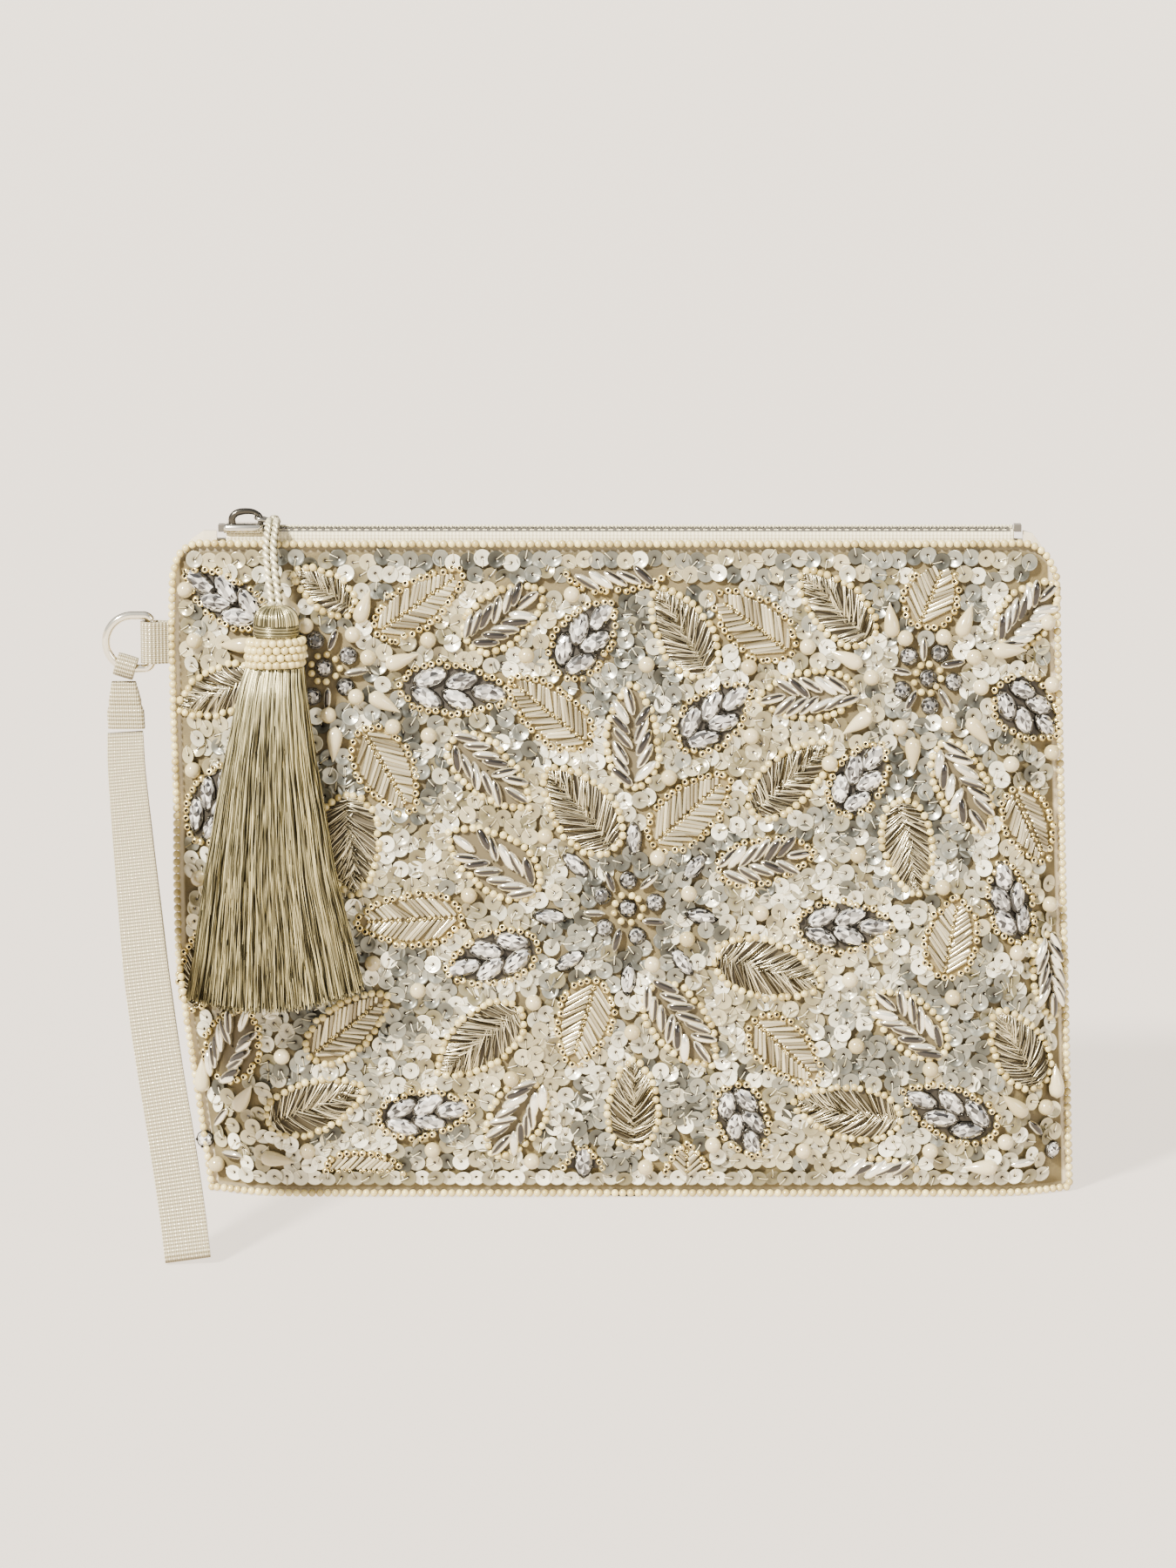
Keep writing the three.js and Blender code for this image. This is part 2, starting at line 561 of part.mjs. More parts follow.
// The strap's turned end round the ring, its stitched fold below that, and its long loop.
function strap() {
  const middle = new THREE.Vector3(ARC_X, 0, RING_Z);
  const turned = ([x, y, z]) => {
    const p = new THREE.Vector3(x, y, z).applyAxisAngle(new THREE.Vector3(0, 1, 0), rad(EYE_TURN));
    return p.add(middle).toArray();
  };
  const tube = (reach, a, b) =>
    loft([-reach, reach].map((x) => oval([x, 0, -RING_R + 0.4], [0, a, 0], [0, 0, b], 14).map(turned)));
  const sleeve = solid(tube(EYE_HALF_W, 3.05, 3.4)).subtract(solid(tube(EYE_HALF_W + 1, 1.75, 2.2)));
  add("strap_eye", meshOf(sleeve), CREAM, 0.8);
  const foldLine = [[-144.6, -0.6, 149.6, 3.6, 1.6], [-144.4, -0.8, 147.5, 4.3, 2],
    [-144.2, -1.1, 142, 5, 2.1], [-144, -1.5, 136.9, 5.25, 2]];
  const fold = foldLine.map(([x, y, z, a, b]) => [[x - a, y - b, z], [x + a, y - b, z], [x + a, y + b, z],
    [x - a, y + b, z]]);
  add("strap_fold", loft(fold), CREAM, 0.8);
  add("wrist_strap", loft(strapRings(), true), CREAM, 0.8);
}

// Square sections down the front layer of the strap, round its fold, and back up the other layer.
function strapRings() {
  const last = STRAP_LINE.length - 1;
  const frames = STRAP_LINE.map((station, i) => {
    const a = new THREE.Vector3(...STRAP_LINE[Math.max(i - 1, 0)].slice(0, 3));
    const b = new THREE.Vector3(...STRAP_LINE[Math.min(i + 1, last)].slice(0, 3));
    const run = b.sub(a).normalize();
    const wide = new THREE.Vector3(1, 0, 0);
    wide.addScaledVector(run, -wide.dot(run)).normalize();
    const out = wide.clone().cross(run).normalize();
    const half = lerp(STRAP_W_TOP, STRAP_W_BOTTOM, Math.min(i / last / STRAP_WIDENS_OVER, 1)) / 2;
    return { at: new THREE.Vector3(...station.slice(0, 3)), apart: station[3] / 2, run, wide, out, half };
  });
  const section = (frame, side, lean, beyond) => {
    const face = frame.out.clone().multiplyScalar(side).addScaledVector(frame.run, lean).normalize();
    const centre = frame.at.clone().addScaledVector(frame.out, side * frame.apart);
    centre.addScaledVector(frame.run, beyond);
    const corner = (w, t) => {
      const point = centre.clone().addScaledVector(frame.wide, w * frame.half);
      return point.addScaledVector(face, (t * STRAP_T) / 2).toArray();
    };
    return [corner(-1, -1), corner(1, -1), corner(1, 1), corner(-1, 1)];
  };
  const down = frames.map((frame) => section(frame, 1, 0, 0));
  const up = frames.map((frame) => section(frame, -1, 0, 0)).reverse();
  const turn = (frame, way) => {
    const end = { ...frame, apart: 0 };
    return section(end, 0, way, way * 1);
  };
  return [...down, turn(frames[last], 1), ...up, turn(frames[0], -1)];
}

panels();
linings();
slipPocket();
embroidery();
edgeBeads();
zip();
slider();
puller();
tassel();
sideTab();
strap();

export default group;
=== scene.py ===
"""The looks of a beaded evening bag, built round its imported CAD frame.

Lengths in the maths are millimetres.
"""

import math

import bpy
import numpy as np
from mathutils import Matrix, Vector
from mathutils.bvhtree import BVHTree


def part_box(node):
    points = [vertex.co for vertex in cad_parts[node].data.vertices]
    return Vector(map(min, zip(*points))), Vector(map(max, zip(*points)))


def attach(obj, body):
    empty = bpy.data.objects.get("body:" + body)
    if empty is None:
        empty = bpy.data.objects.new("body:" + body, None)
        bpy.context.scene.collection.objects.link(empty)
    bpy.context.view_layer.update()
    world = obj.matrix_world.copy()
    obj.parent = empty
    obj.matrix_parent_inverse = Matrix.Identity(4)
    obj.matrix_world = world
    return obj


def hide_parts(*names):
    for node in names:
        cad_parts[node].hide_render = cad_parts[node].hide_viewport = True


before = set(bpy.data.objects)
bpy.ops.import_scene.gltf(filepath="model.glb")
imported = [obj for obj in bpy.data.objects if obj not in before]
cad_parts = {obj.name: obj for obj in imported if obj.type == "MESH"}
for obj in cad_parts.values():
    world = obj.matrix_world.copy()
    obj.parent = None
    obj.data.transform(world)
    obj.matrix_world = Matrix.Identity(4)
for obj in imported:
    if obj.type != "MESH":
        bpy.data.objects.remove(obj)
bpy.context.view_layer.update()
MM = 0.001
rng = np.random.default_rng(7)


def low_high(node):
    low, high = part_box(node)
    return np.array(low) / MM, np.array(high) / MM


# ---------------------------------------------------------------- camera, light and floor

VIEW_LIFT = math.radians(10)
VIEW_FAR = 1600
VIEW_HEIGHT = 450
VIEW_MIDDLE = np.array([-11.2, -8, 121.3])


def camera_and_light():
    data = bpy.data.cameras.new("camera")
    data.sensor_width = 36
    data.lens = 36 * VIEW_FAR / VIEW_HEIGHT
    data.clip_end = 100
    camera = bpy.data.objects.new("camera", data)
    away = np.array([0, -math.cos(VIEW_LIFT), math.sin(VIEW_LIFT)]) * VIEW_FAR
    camera.location = (VIEW_MIDDLE + away) * MM
    camera.rotation_euler = Vector(-away).to_track_quat("-Z", "Y").to_euler()
    bpy.context.collection.objects.link(camera)
    bpy.context.scene.camera = camera

    for name, strength, size, toward, colour in (
        ("key", 17.0, 8, (-0.75, -0.95, 0.9), (1, 0.975, 0.93)),
        ("fill", 1.2, 25, (1.0, -1.0, 0.5), (1, 0.98, 0.95)),
    ):
        sun = bpy.data.lights.new(name, "SUN")
        sun.energy = strength
        sun.angle = math.radians(size)
        sun.color = colour
        lamp = bpy.data.objects.new(name, sun)
        lamp.rotation_euler = Vector(toward).to_track_quat("Z", "Y").to_euler()
        bpy.context.collection.objects.link(lamp)

    world = bpy.data.worlds.new("room")
    bpy.context.scene.world = world
    world.use_nodes = True
    nodes, links = world.node_tree.nodes, world.node_tree.links
    nodes.clear()
    place = nodes.new("ShaderNodeTexCoord")
    toward = nodes.new("ShaderNodeVectorMath")
    toward.operation = "DOT_PRODUCT"
    toward.inputs[1].default_value = Vector((-0.62, -0.45, 0.64))
    shade = nodes.new("ShaderNodeMapRange")
    shade.interpolation_type = "SMOOTHSTEP"
    shade.inputs["From Min"].default_value = -0.1
    shade.inputs["From Max"].default_value = 0.95
    shade.inputs["To Min"].default_value = 0.06
    shade.inputs["To Max"].default_value = 1.3
    back = nodes.new("ShaderNodeBackground")
    back.inputs["Color"].default_value = (1, 0.985, 0.965, 1)
    out = nodes.new("ShaderNodeOutputWorld")
    links.new(place.outputs["Generated"], toward.inputs[0])
    links.new(toward.outputs["Value"], shade.inputs["Value"])
    links.new(shade.outputs["Result"], back.inputs["Strength"])
    links.new(back.outputs[0], out.inputs["Surface"])


# ---------------------------------------------------------------- shaders


class Value:
    """A shader socket that can stand in a sum."""

    def __init__(self, look, socket):
        self.look, self.socket = look, socket

    def maths(self, kind, other=None, turned=False):
        pair = (other, self) if turned else (self, other)
        node = self.look.tree.nodes.new("ShaderNodeMath")
        node.operation = kind
        for slot, value in zip(node.inputs, pair):
            self.look.feed(slot, value)
        return Value(self.look, node.outputs[0])

    def __add__(self, other):
        return self.maths("ADD", other)

    def __sub__(self, other):
        return self.maths("SUBTRACT", other)

    def __rsub__(self, other):
        return self.maths("SUBTRACT", other, True)

    def __mul__(self, other):
        return self.maths("MULTIPLY", other)

    def __truediv__(self, other):
        return self.maths("DIVIDE", other)

    def __pow__(self, other):
        return self.maths("POWER", other)

    def wave(self):
        return (self * (2 * math.pi)).maths("COSINE") * 0.5 + 0.5

    def clip(self):
        return (self.maths("MAXIMUM", 0.0)).maths("MINIMUM", 1.0)

    __radd__, __rmul__ = __add__, __mul__


class Look:
    """One material. Plain numbers set its sockets, and a Value is linked to one."""

    def __init__(self, name, **sockets):
        self.material = bpy.data.materials.new(name)
        self.material.use_nodes = True
        self.tree = self.material.node_tree
        self.shader = self.tree.nodes["Principled BSDF"]
        self.set(**sockets)

    def feed(self, socket, value):
        if value is None:
            return
        if isinstance(value, Value):
            self.tree.links.new(value.socket, socket)
        elif isinstance(value, (tuple, list)) and len(value) == 3 and socket.type == "RGBA":
            socket.default_value = (*value, 1)
        else:
            socket.default_value = value

    def set(self, **sockets):
        for name, value in sockets.items():
            self.feed(self.shader.inputs[name.replace("_", " ")], value)
        return self

    def node(self, kind, settings=None, out=0, **sockets):
        node = self.tree.nodes.new("ShaderNode" + kind)
        for name, value in (settings or {}).items():
            setattr(node, name, value)
        for name, value in sockets.items():
            self.feed(node.inputs[name.replace("_", " ")], value)
        return Value(self, node.outputs[out])

    def noise(self, scale, detail=2.0):
        place = self.node("TexCoord", out="Object")
        return self.node("TexNoise", Vector=place, Scale=scale, Detail=detail)

    def kept(self, name):
        """A number that the mesh keeps at each point."""
        return self.node("Attribute", {"attribute_name": name}, out="Fac")

    def mix(self, share, first, second):
        node = self.tree.nodes.new("ShaderNodeMix")
        node.data_type = "RGBA"
        self.feed(node.inputs[0], share)
        self.feed(node.inputs[6], first)
        self.feed(node.inputs[7], second)
        return Value(self, node.outputs[2])

    def bump(self, height, strength, distance):
        lit = self.node("Bump", Strength=strength, Distance=distance * MM, Height=height)
        return self.set(Normal=lit)


def looks():
    """Every material of the bag, by name."""
    made = {}

    def new(name, **sockets):
        made[name] = Look(name, **sockets)
        return made[name]

    def toned(name, dark, light, curve=1.0, **sockets):
        look = new(name, **sockets)
        tone = look.kept("tone")
        colour = look.mix(tone.clip() ** curve, dark, light)
        # A tone below nought paints near black: painted shade in bead and sequin holes and a painted dark
        # reflection on rice beads.
        look.set(Base_Color=look.mix((tone * 4 + 1).clip(), (0.02, 0.015, 0.01), colour))
        return look

    satin = new("satin", Roughness=0.42, Sheen_Weight=0.25, Sheen_Roughness=0.4)
    drift = satin.noise(40)
    satin.set(Base_Color=satin.mix(drift, (0.56, 0.48, 0.33), (0.66, 0.58, 0.42)))
    satin.bump(satin.noise(900, 4), 0.15, 0.2)

    ground = new("ground_cloth", Roughness=0.7)
    # Under the embroidery the cloth is painted very dark with a noise grain: painted shade in the gaps
    # between the beads. Its own pale colour shows where the tone is one.
    thread = ground.mix(ground.noise(160), (0.04, 0.028, 0.008), (0.17, 0.125, 0.045))
    ground.set(Base_Color=ground.mix(ground.kept("tone"), thread, (0.56, 0.48, 0.32)))
    ground.bump(ground.noise(1500, 3), 0.4, 0.3)

    lining = new("lining", Roughness=0.6, Sheen_Weight=0.2)
    lining.set(Base_Color=lining.mix(lining.noise(60), (0.50, 0.43, 0.30), (0.58, 0.51, 0.37)))
    lining.bump(lining.noise(1200, 3), 0.2, 0.2)

    toned("pearl", (0.27, 0.20, 0.07), (0.50, 0.42, 0.24), Roughness=0.16, Coat_Weight=1.0,
          Coat_Roughness=0.04)
    toned("seed_pearl", (0.24, 0.165, 0.035), (0.66, 0.54, 0.23), Roughness=0.28, Coat_Weight=0.5,
          Coat_Roughness=0.12)
    toned("gold", (0.30, 0.21, 0.055), (0.90, 0.75, 0.36), Metallic=0.9, Roughness=0.26)
    toned("sequin_white", (0.11, 0.09, 0.035), (0.82, 0.78, 0.60), curve=1.3, Metallic=0.3, Roughness=0.25)
    # The silver sequins' dark grey base paints in the dark reflection that these mirror-like discs show.
    toned("sequin_silver", (0.03, 0.029, 0.022), (0.30, 0.295, 0.235), Metallic=0.8, Roughness=0.3)
    toned("sequin_pearly", (0.11, 0.085, 0.03), (0.50, 0.44, 0.26), Metallic=0.4, Roughness=0.22,
          Coat_Weight=0.6)
    toned("thread", (0.34, 0.28, 0.13), (0.80, 0.73, 0.50), Roughness=0.5)
    toned("wire", (0.03, 0.02, 0.005), (0.92, 0.82, 0.54), curve=1.3, Metallic=0.9, Roughness=0.27)
    toned("bugle", (0.13, 0.097, 0.04), (0.78, 0.70, 0.46), Metallic=0.7, Roughness=0.2, Coat_Weight=0.8)
    toned("rice", (0.20, 0.16, 0.07), (0.96, 0.90, 0.72), Metallic=0.8, Roughness=0.12, Coat_Weight=1.0,
          Coat_Roughness=0.03)
    toned("stone", (0.012, 0.011, 0.010), (0.90, 0.86, 0.78), curve=1.7, Metallic=0.4, Roughness=0.08,
          Coat_Weight=1.0, Coat_Roughness=0.02)
    toned("setting", (0.02, 0.018, 0.014), (0.12, 0.11, 0.09), Metallic=1.0, Roughness=0.35)
    # The bed is painted shade: a dark patch under each leaf's beads, seen in the gaps between them.
    toned("bed", (0.015, 0.01, 0.003), (0.26, 0.19, 0.07), Roughness=0.6)
    toned("dark_silver", (0.03, 0.026, 0.02), (0.80, 0.76, 0.66), Metallic=1.0, Roughness=0.2)
    toned("tassel", (0.012, 0.009, 0.002), (0.78, 0.68, 0.36), curve=2.0, Metallic=0.85, Roughness=0.3)
    # A very dark material for the painted shade inside the tassel.
    toned("tassel_core_shade", (0.03, 0.024, 0.007), (0.06, 0.05, 0.018), Metallic=0.5, Roughness=0.6)
    toned("cord", (0.03, 0.022, 0.006), (0.80, 0.73, 0.48), Metallic=0.5, Roughness=0.38)
    new("tooth_metal", Base_Color=(0.16, 0.15, 0.13), Metallic=0.9, Roughness=0.3)
    new("ring_metal", Base_Color=(0.86, 0.80, 0.66), Metallic=1.0, Roughness=0.1)
    webbing(new("webbing", Roughness=0.62, Sheen_Weight=0.15))
    webbing(new("zip_cloth", Roughness=0.7), dots=0.0, dark=(0.50, 0.43, 0.26), light=(0.74, 0.67, 0.45))
    return made


def webbing(look, dots=1.0, dark=(0.09, 0.068, 0.024), light=(0.50, 0.43, 0.26)):
    """Ribs across the band, with rows of metal thread showing as dots. The colour is painted darker in the
    hollows between ribs and cords, as painted shade.

    The mesh keeps how far along the band and how far across it each point is.
    """
    run, side = look.kept("run"), look.kept("side")
    rib = (run / 1.05).wave()
    cord = (side / 0.62).wave()
    weave = rib * 0.6 + cord * 0.4
    place = ((run / 1.05).wave() * (side / 1.25).wave()) ** 6.0
    glint = (place * 2.2 * dots).clip()
    # The colour follows the bump's height: painted shade in the grooves, lighter on the ribs.
    cloth = look.mix(weave, dark, light)
    look.set(Base_Color=look.mix(glint, cloth, (0.90, 0.84, 0.64)))
    look.set(Metallic=glint * 0.8, Roughness=0.62 - glint * 0.35)
    look.bump(weave + glint * 0.5, 0.8, 0.3)


# ---------------------------------------------------------------- meshes


# A tone that paints a spot near black: painted shade in bead and sequin holes, and the painted dark
# reflection on rice beads.
PAINTED_BLACK = -1.0


class Stock:
    """Points and faces gathered in millimetres, for one piece of one material."""

    def __init__(self):
        self.points, self.faces, self.kept, self.count = [], [], {"tone": []}, 0

    def add(self, points, faces, tone=0.5, **kept):
        points = np.asarray(points, float).reshape(-1, 3)
        self.points.append(points)
        self.faces.append(np.where(np.asarray(faces) >= 0, np.asarray(faces) + self.count, -1))
        for name, value in {"tone": tone, **kept}.items():
            self.kept.setdefault(name, []).append(np.broadcast_to(value, len(points)))
        self.count += len(points)

    def copies(self, shape, places, tones, sizes=None):
        """The shape at each place: rows of 3x4 matrices, with a tone for each copy."""
        points, faces, count = shape[0], shape[1], len(places)
        if not count:
            return
        spread = points[None] if sizes is None else points[None] * np.asarray(sizes)[:, None, :]
        moved = np.einsum("kij,knj->kni", places[:, :, :3], np.broadcast_to(spread, (count, *points.shape)))
        moved += places[:, None, :, 3]
        step = (np.arange(count) * len(points))[:, None, None]
        many = np.where(faces[None] >= 0, faces[None] + step, -1).reshape(-1, 4)
        tone = np.repeat(np.asarray(tones, float), len(points))
        if len(shape) > 2:
            offset = np.tile(shape[2], count)
            tone = np.where(offset <= PAINTED_BLACK, PAINTED_BLACK, np.clip(tone + offset, 0, 1))
        self.add(moved.reshape(-1, 3), many, tone)

    def piece(self, name, look, body, *nodes, smooth=True, slot=None):
        points = np.concatenate(self.points) * MM
        faces = np.concatenate(self.faces)
        three = faces[:, 3] < 0
        corners = np.where(three, 3, 4)
        starts = np.concatenate([[0], np.cumsum(corners)[:-1]])
        loops = faces.reshape(-1)
        mesh = bpy.data.meshes.new(name)
        mesh.vertices.add(len(points))
        mesh.vertices.foreach_set("co", points.astype(np.float32).reshape(-1))
        mesh.loops.add(int(corners.sum()))
        mesh.loops.foreach_set("vertex_index", loops[loops >= 0].astype(np.int32))
        mesh.polygons.add(len(faces))
        mesh.polygons.foreach_set("loop_start", starts.astype(np.int32))
        mesh.polygons.foreach_set("use_smooth", np.full(len(faces), smooth))
        mesh.update(calc_edges=True)
        for label, values in self.kept.items():
            attribute = mesh.attributes.new(label, "FLOAT", "POINT")
            attribute.data.foreach_set("value", np.concatenate(values).astype(np.float32))
        mesh.materials.append(look.material)
        made = bpy.data.objects.new(name, mesh)
        bpy.context.collection.objects.link(made)
        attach(made, body)
        if nodes:
            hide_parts(*nodes)
        return made


def quads(rows, columns, wrap=False):
    """Faces of a grid of points. wrap joins the last column to the first."""
    i, j = np.meshgrid(np.arange(rows - 1), np.arange(columns if wrap else columns - 1), indexing="ij")
    k = (j + 1) % columns
    corners = [i * columns + j, i * columns + k, (i + 1) * columns + k, (i + 1) * columns + j]
    return np.stack(corners, -1).reshape(-1, 4)


def turned_shape(profile, sides, squeeze=(1, 1)):
    """A profile of (radius, height) turned about the z axis. A radius of nought closes an end."""
    at = np.arange(sides) * 2 * np.pi / sides
    profile = np.array(profile, float)
    rings = np.stack(
        [
            profile[:, :1] * np.cos(at) * squeeze[0],
            profile[:, :1] * np.sin(at) * squeeze[1],
            np.repeat(profile[:, 1:], sides, 1),
        ],
        -1,
    )
    return rings.reshape(-1, 3), quads(len(profile), sides, True)


def ball(sides, rings):
    at = np.linspace(-np.pi / 2, np.pi / 2, rings)
    return turned_shape(np.stack([np.maximum(np.cos(at), 0.02), np.sin(at)], 1), sides)


def unit(vectors):
    return vectors / np.maximum(np.linalg.norm(vectors, axis=-1, keepdims=True), 1e-9)


def tube(line, radius, sides=6, closed=False, flat=1.0):
    """A round skin along a line of points."""
    line = np.asarray(line, float)
    if closed:
        run = unit(np.roll(line, -1, 0) - np.roll(line, 1, 0))
    else:
        run = unit(np.gradient(line, axis=0))
    hint = np.array([0.0, -1.0, 0.05])
    if np.abs(run @ unit(hint)).max() > 0.95:
        hint = np.array([1.0, 0.1, 0.1])
    across = unit(np.cross(run, hint))
    up = np.cross(across, run)
    at = (np.arange(sides) + 0.5) * 2 * np.pi / sides
    radius = np.broadcast_to(np.asarray(radius, float), len(line))[:, None, None]
    ring = across[:, None] * np.cos(at)[None, :, None] + up[:, None] * np.sin(at)[None, :, None] * flat
    points = (line[:, None] + ring * radius).reshape(-1, 3)
    faces = quads(len(line), sides, True)
    if closed:
        j = np.arange(sides)
        k = (j + 1) % sides
        last = (len(line) - 1) * sides
        faces = np.concatenate([faces, np.stack([last + j, last + k, k, j], -1)])
    return points, faces


def distance_along(line):
    """How far along a line each of its points is."""
    steps = np.linalg.norm(np.diff(line, axis=0), axis=1)
    return np.concatenate([[0], np.cumsum(steps)])


def upright(spots):
    """Places without any turn, one at each spot."""
    places = np.zeros((len(spots), 3, 4))
    places[:, :, :3] = np.eye(3)
    places[:, :, 3] = spots
    return places


def thicken(piece, thick, offset=-1.0):
    """Gives a sheet of cloth its thickness. With an offset of nought the mesh is in its middle."""
    solid = piece.modifiers.new("thickness", "SOLIDIFY")
    solid.thickness = thick * MM
    solid.offset = offset


def smooth_line(points, count):
    """A smooth curve through a few points, as evenly spaced ones."""
    points = np.asarray(points, float)
    ends = np.concatenate([[2 * points[0] - points[1]], points, [2 * points[-1] - points[-2]]])
    fine = []
    for a, b, c, d in zip(ends, ends[1:], ends[2:], ends[3:]):
        t = np.linspace(0, 1, 24, endpoint=False)[:, None]
        curve = 2 * b + (c - a) * t + (2 * a - 5 * b + 4 * c - d) * t**2 + (3 * b - a - 3 * c + d) * t**3
        fine.append(0.5 * curve)
    fine = np.concatenate([*fine, points[-1:]])
    along = distance_along(fine)
    at = np.linspace(0, along[-1], count)
    return np.stack([np.interp(at, along, fine[:, k]) for k in range(points.shape[1])], 1)


# ---------------------------------------------------------------- the pouch's surfaces

PANEL_LOW, PANEL_HIGH = low_high("front_panel")
TOP = PANEL_HIGH[2]
HEM = 1.65
GRID = 2.0
CORNERS = (8.0, 10.0)


class Side:
    """One face of the pouch, as its y over x and z, read off the CAD panel by rays."""

    def __init__(self, node, way):
        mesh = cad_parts[node].data
        tree = BVHTree.FromPolygons([v.co for v in mesh.vertices], [list(p.vertices) for p in mesh.polygons])
        self.x = np.arange(PANEL_LOW[0] - 4, PANEL_HIGH[0] + 6, GRID)
        self.z = np.arange(-2.0, TOP + 4, GRID)
        self.way = way
        y = np.full((len(self.x), len(self.z)), np.nan)
        for i, x in enumerate(self.x):
            for j, z in enumerate(self.z):
                start = Vector((x, way * 200, np.clip(z, 0.05, TOP - 0.05))) * MM
                hit = tree.ray_cast(start, Vector((0, -way, 0)))[0]
                if hit:
                    y[i, j] = hit.y / MM
        y = np.where(np.isnan(y), way * HEM, y)
        for _ in range(3):
            padded = np.pad(y, 1, mode="edge")
            y = (padded[:-2, 1:-1] + padded[2:, 1:-1] + padded[1:-1, :-2] + padded[1:-1, 2:] + 2 * y) / 6
        self.y = y

    def at(self, x, z):
        u = np.clip((np.asarray(x, float) - self.x[0]) / GRID, 0, len(self.x) - 1.001)
        v = np.clip((np.asarray(z, float) - self.z[0]) / GRID, 0, len(self.z) - 1.001)
        i, j = u.astype(int), v.astype(int)
        s, t = u - i, v - j
        low = self.y[i, j] * (1 - s) + self.y[i + 1, j] * s
        high = self.y[i, j + 1] * (1 - s) + self.y[i + 1, j + 1] * s
        return low * (1 - t) + high * t

    def normal(self, x, z):
        slope_x = (self.at(x + 1.5, z) - self.at(x - 1.5, z)) / 3
        slope_z = (self.at(x, z + 1.5) - self.at(x, z - 1.5)) / 3
        out = np.stack([slope_x, -np.ones_like(slope_x), slope_z], -1) * -self.way
        return unit(out)


front, back = Side("front_panel", -1), Side("back_panel", 1)


def edges():
    """The outline's four corners in x: bottom left, top left, bottom right, top right."""
    points = np.array([v.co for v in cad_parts["front_panel"].data.vertices]) / MM
    floor = points[points[:, 2] < 0.01]
    upper = points[points[:, 2] > TOP - 12]
    return floor[:, 0].min(), upper[:, 0].min(), floor[:, 0].max(), upper[:, 0].max()


LEFT_LOW, LEFT_HIGH, RIGHT_LOW, RIGHT_HIGH = edges()
# How far the left seam bows out past the CAD's straight one, at each height.
BULGE_HEIGHTS = (0, 10, 30, 50, 70, 95, 113, 140, 165, 183)
BULGE = (0.5, 1.2, 2.9, 4.7, 6.0, 5.0, 3.8, 3.0, 2.0, 0.6)


def side_x(z, left):
    """The seam on one side. The left one bows out where the pouch is fullest."""
    low, high = (LEFT_LOW, LEFT_HIGH) if left else (RIGHT_LOW, RIGHT_HIGH)
    z = np.asarray(z, float)
    return low + (high - low) * z / TOP - (np.interp(z, BULGE_HEIGHTS, BULGE) if left else 0)


def top_z(x):
    x = np.asarray(x, float)
    left = np.clip(CORNERS[0] - (x - LEFT_HIGH), 0, CORNERS[0])
    right = np.clip(CORNERS[1] - (RIGHT_HIGH - x), 0, CORNERS[1])
    drop = CORNERS[0] - np.sqrt(CORNERS[0] ** 2 - left**2) + CORNERS[1] - np.sqrt(CORNERS[1] ** 2 - right**2)
    return TOP - drop


def face_grid(side, across, up, off=0.0, inset=0.0, z0=0.0, z1=1.0):
    """A grid of points over one face. z0 and z1 are shares of its height."""
    v, u = np.meshgrid(np.linspace(z0, z1, up), np.linspace(0, 1, across), indexing="ij")
    u = (1 - np.cos(u * np.pi)) / 2
    left, right = side_x(v * TOP, True) + inset, side_x(v * TOP, False) - inset
    x = left + (right - left) * u
    z = v * top_z(x)
    return np.stack([x, side.at(x, z) + side.way * off, z], -1)


def seat(x, z, lift=0.0, turn=0.0, lean=0.0):
    """Places on the front: z axis out of the cloth, x axis along turn (degrees), each with a random lean."""
    x, z = np.broadcast_arrays(np.asarray(x, float), np.asarray(z, float))
    out = front.normal(x, z)
    if lean:
        out = unit(out + rng.normal(0, lean, out.shape))
    angle = np.radians(np.broadcast_to(turn, x.shape))
    run = np.stack([np.cos(angle), np.zeros_like(angle), np.sin(angle)], -1)
    run = unit(run - out * (run * out).sum(-1, keepdims=True))
    where = np.stack([x, front.at(x, z), z], -1) + out * np.broadcast_to(lift, x.shape)[..., None]
    return np.stack([run, np.cross(out, run), out, where], -1)


# ---------------------------------------------------------------- embroidery

# Motifs are laid out on a flat drawing: x, z, the turn of the tip in degrees, length and width. Some are
# cut straight by the rows of sequins, so a last pair gives the lowest and highest z that they keep.
FLOOR_CUT, CEILING_CUT = (8.5, 300), (-10, 183)
STONE_LEAVES = [
    (-114.8, 175.4, 148, 28.7, 15), (-12, 163.7, 54, 27.5, 18), (-49, 148.7, -5, 33.5, 16.5),
    (25, 141.1, 40, 28, 17.5), (114.5, 142.9, -43, 24.5, 18), (66.8, 123.1, 57, 25.5, 17),
    (-118, 116.2, 63, 28, 16.5), (-39, 70.6, 198, 29.5, 17), (63, 80, 0, 30, 16.5),
    (109.8, 87.3, 103, 26, 14.5), (93.5, 25.6, 155, 31.5, 17), (33.8, 23, -70, 25.5, 16.5),
    (-58.5, 25, 9, 29, 16), (-12.5, 3.3, 90, 28, 17, FLOOR_CUT),
]
WIRE_LEAVES = [
    (-86.5, 177.7, 146, 22.5, 13), (15.8, 165.7, 121, 31, 17.5), (59.5, 172.8, 136, 30, 17),
    (-117, 148, 205, 27.5, 15), (-13.3, 114.2, 130, 32, 19.5), (47, 123.3, 42, 32, 16.5),
    (-79.5, 103.6, -85, 31, 19), (41, 67.3, -15, 34, 18.5), (80.8, 102.8, -80, 30, 16.5),
    (113, 43.9, 118, 28.5, 16.5), (63.8, 25.6, 170, 33, 18), (1.8, 27.9, 90, 29, 17),
    (-90, 27.4, 21, 32, 17.5), (-42.8, 46.4, 219, 32, 18.5), (-123, 67.5, 80, 27, 14), (-103, 92, 60, 29, 17),
]
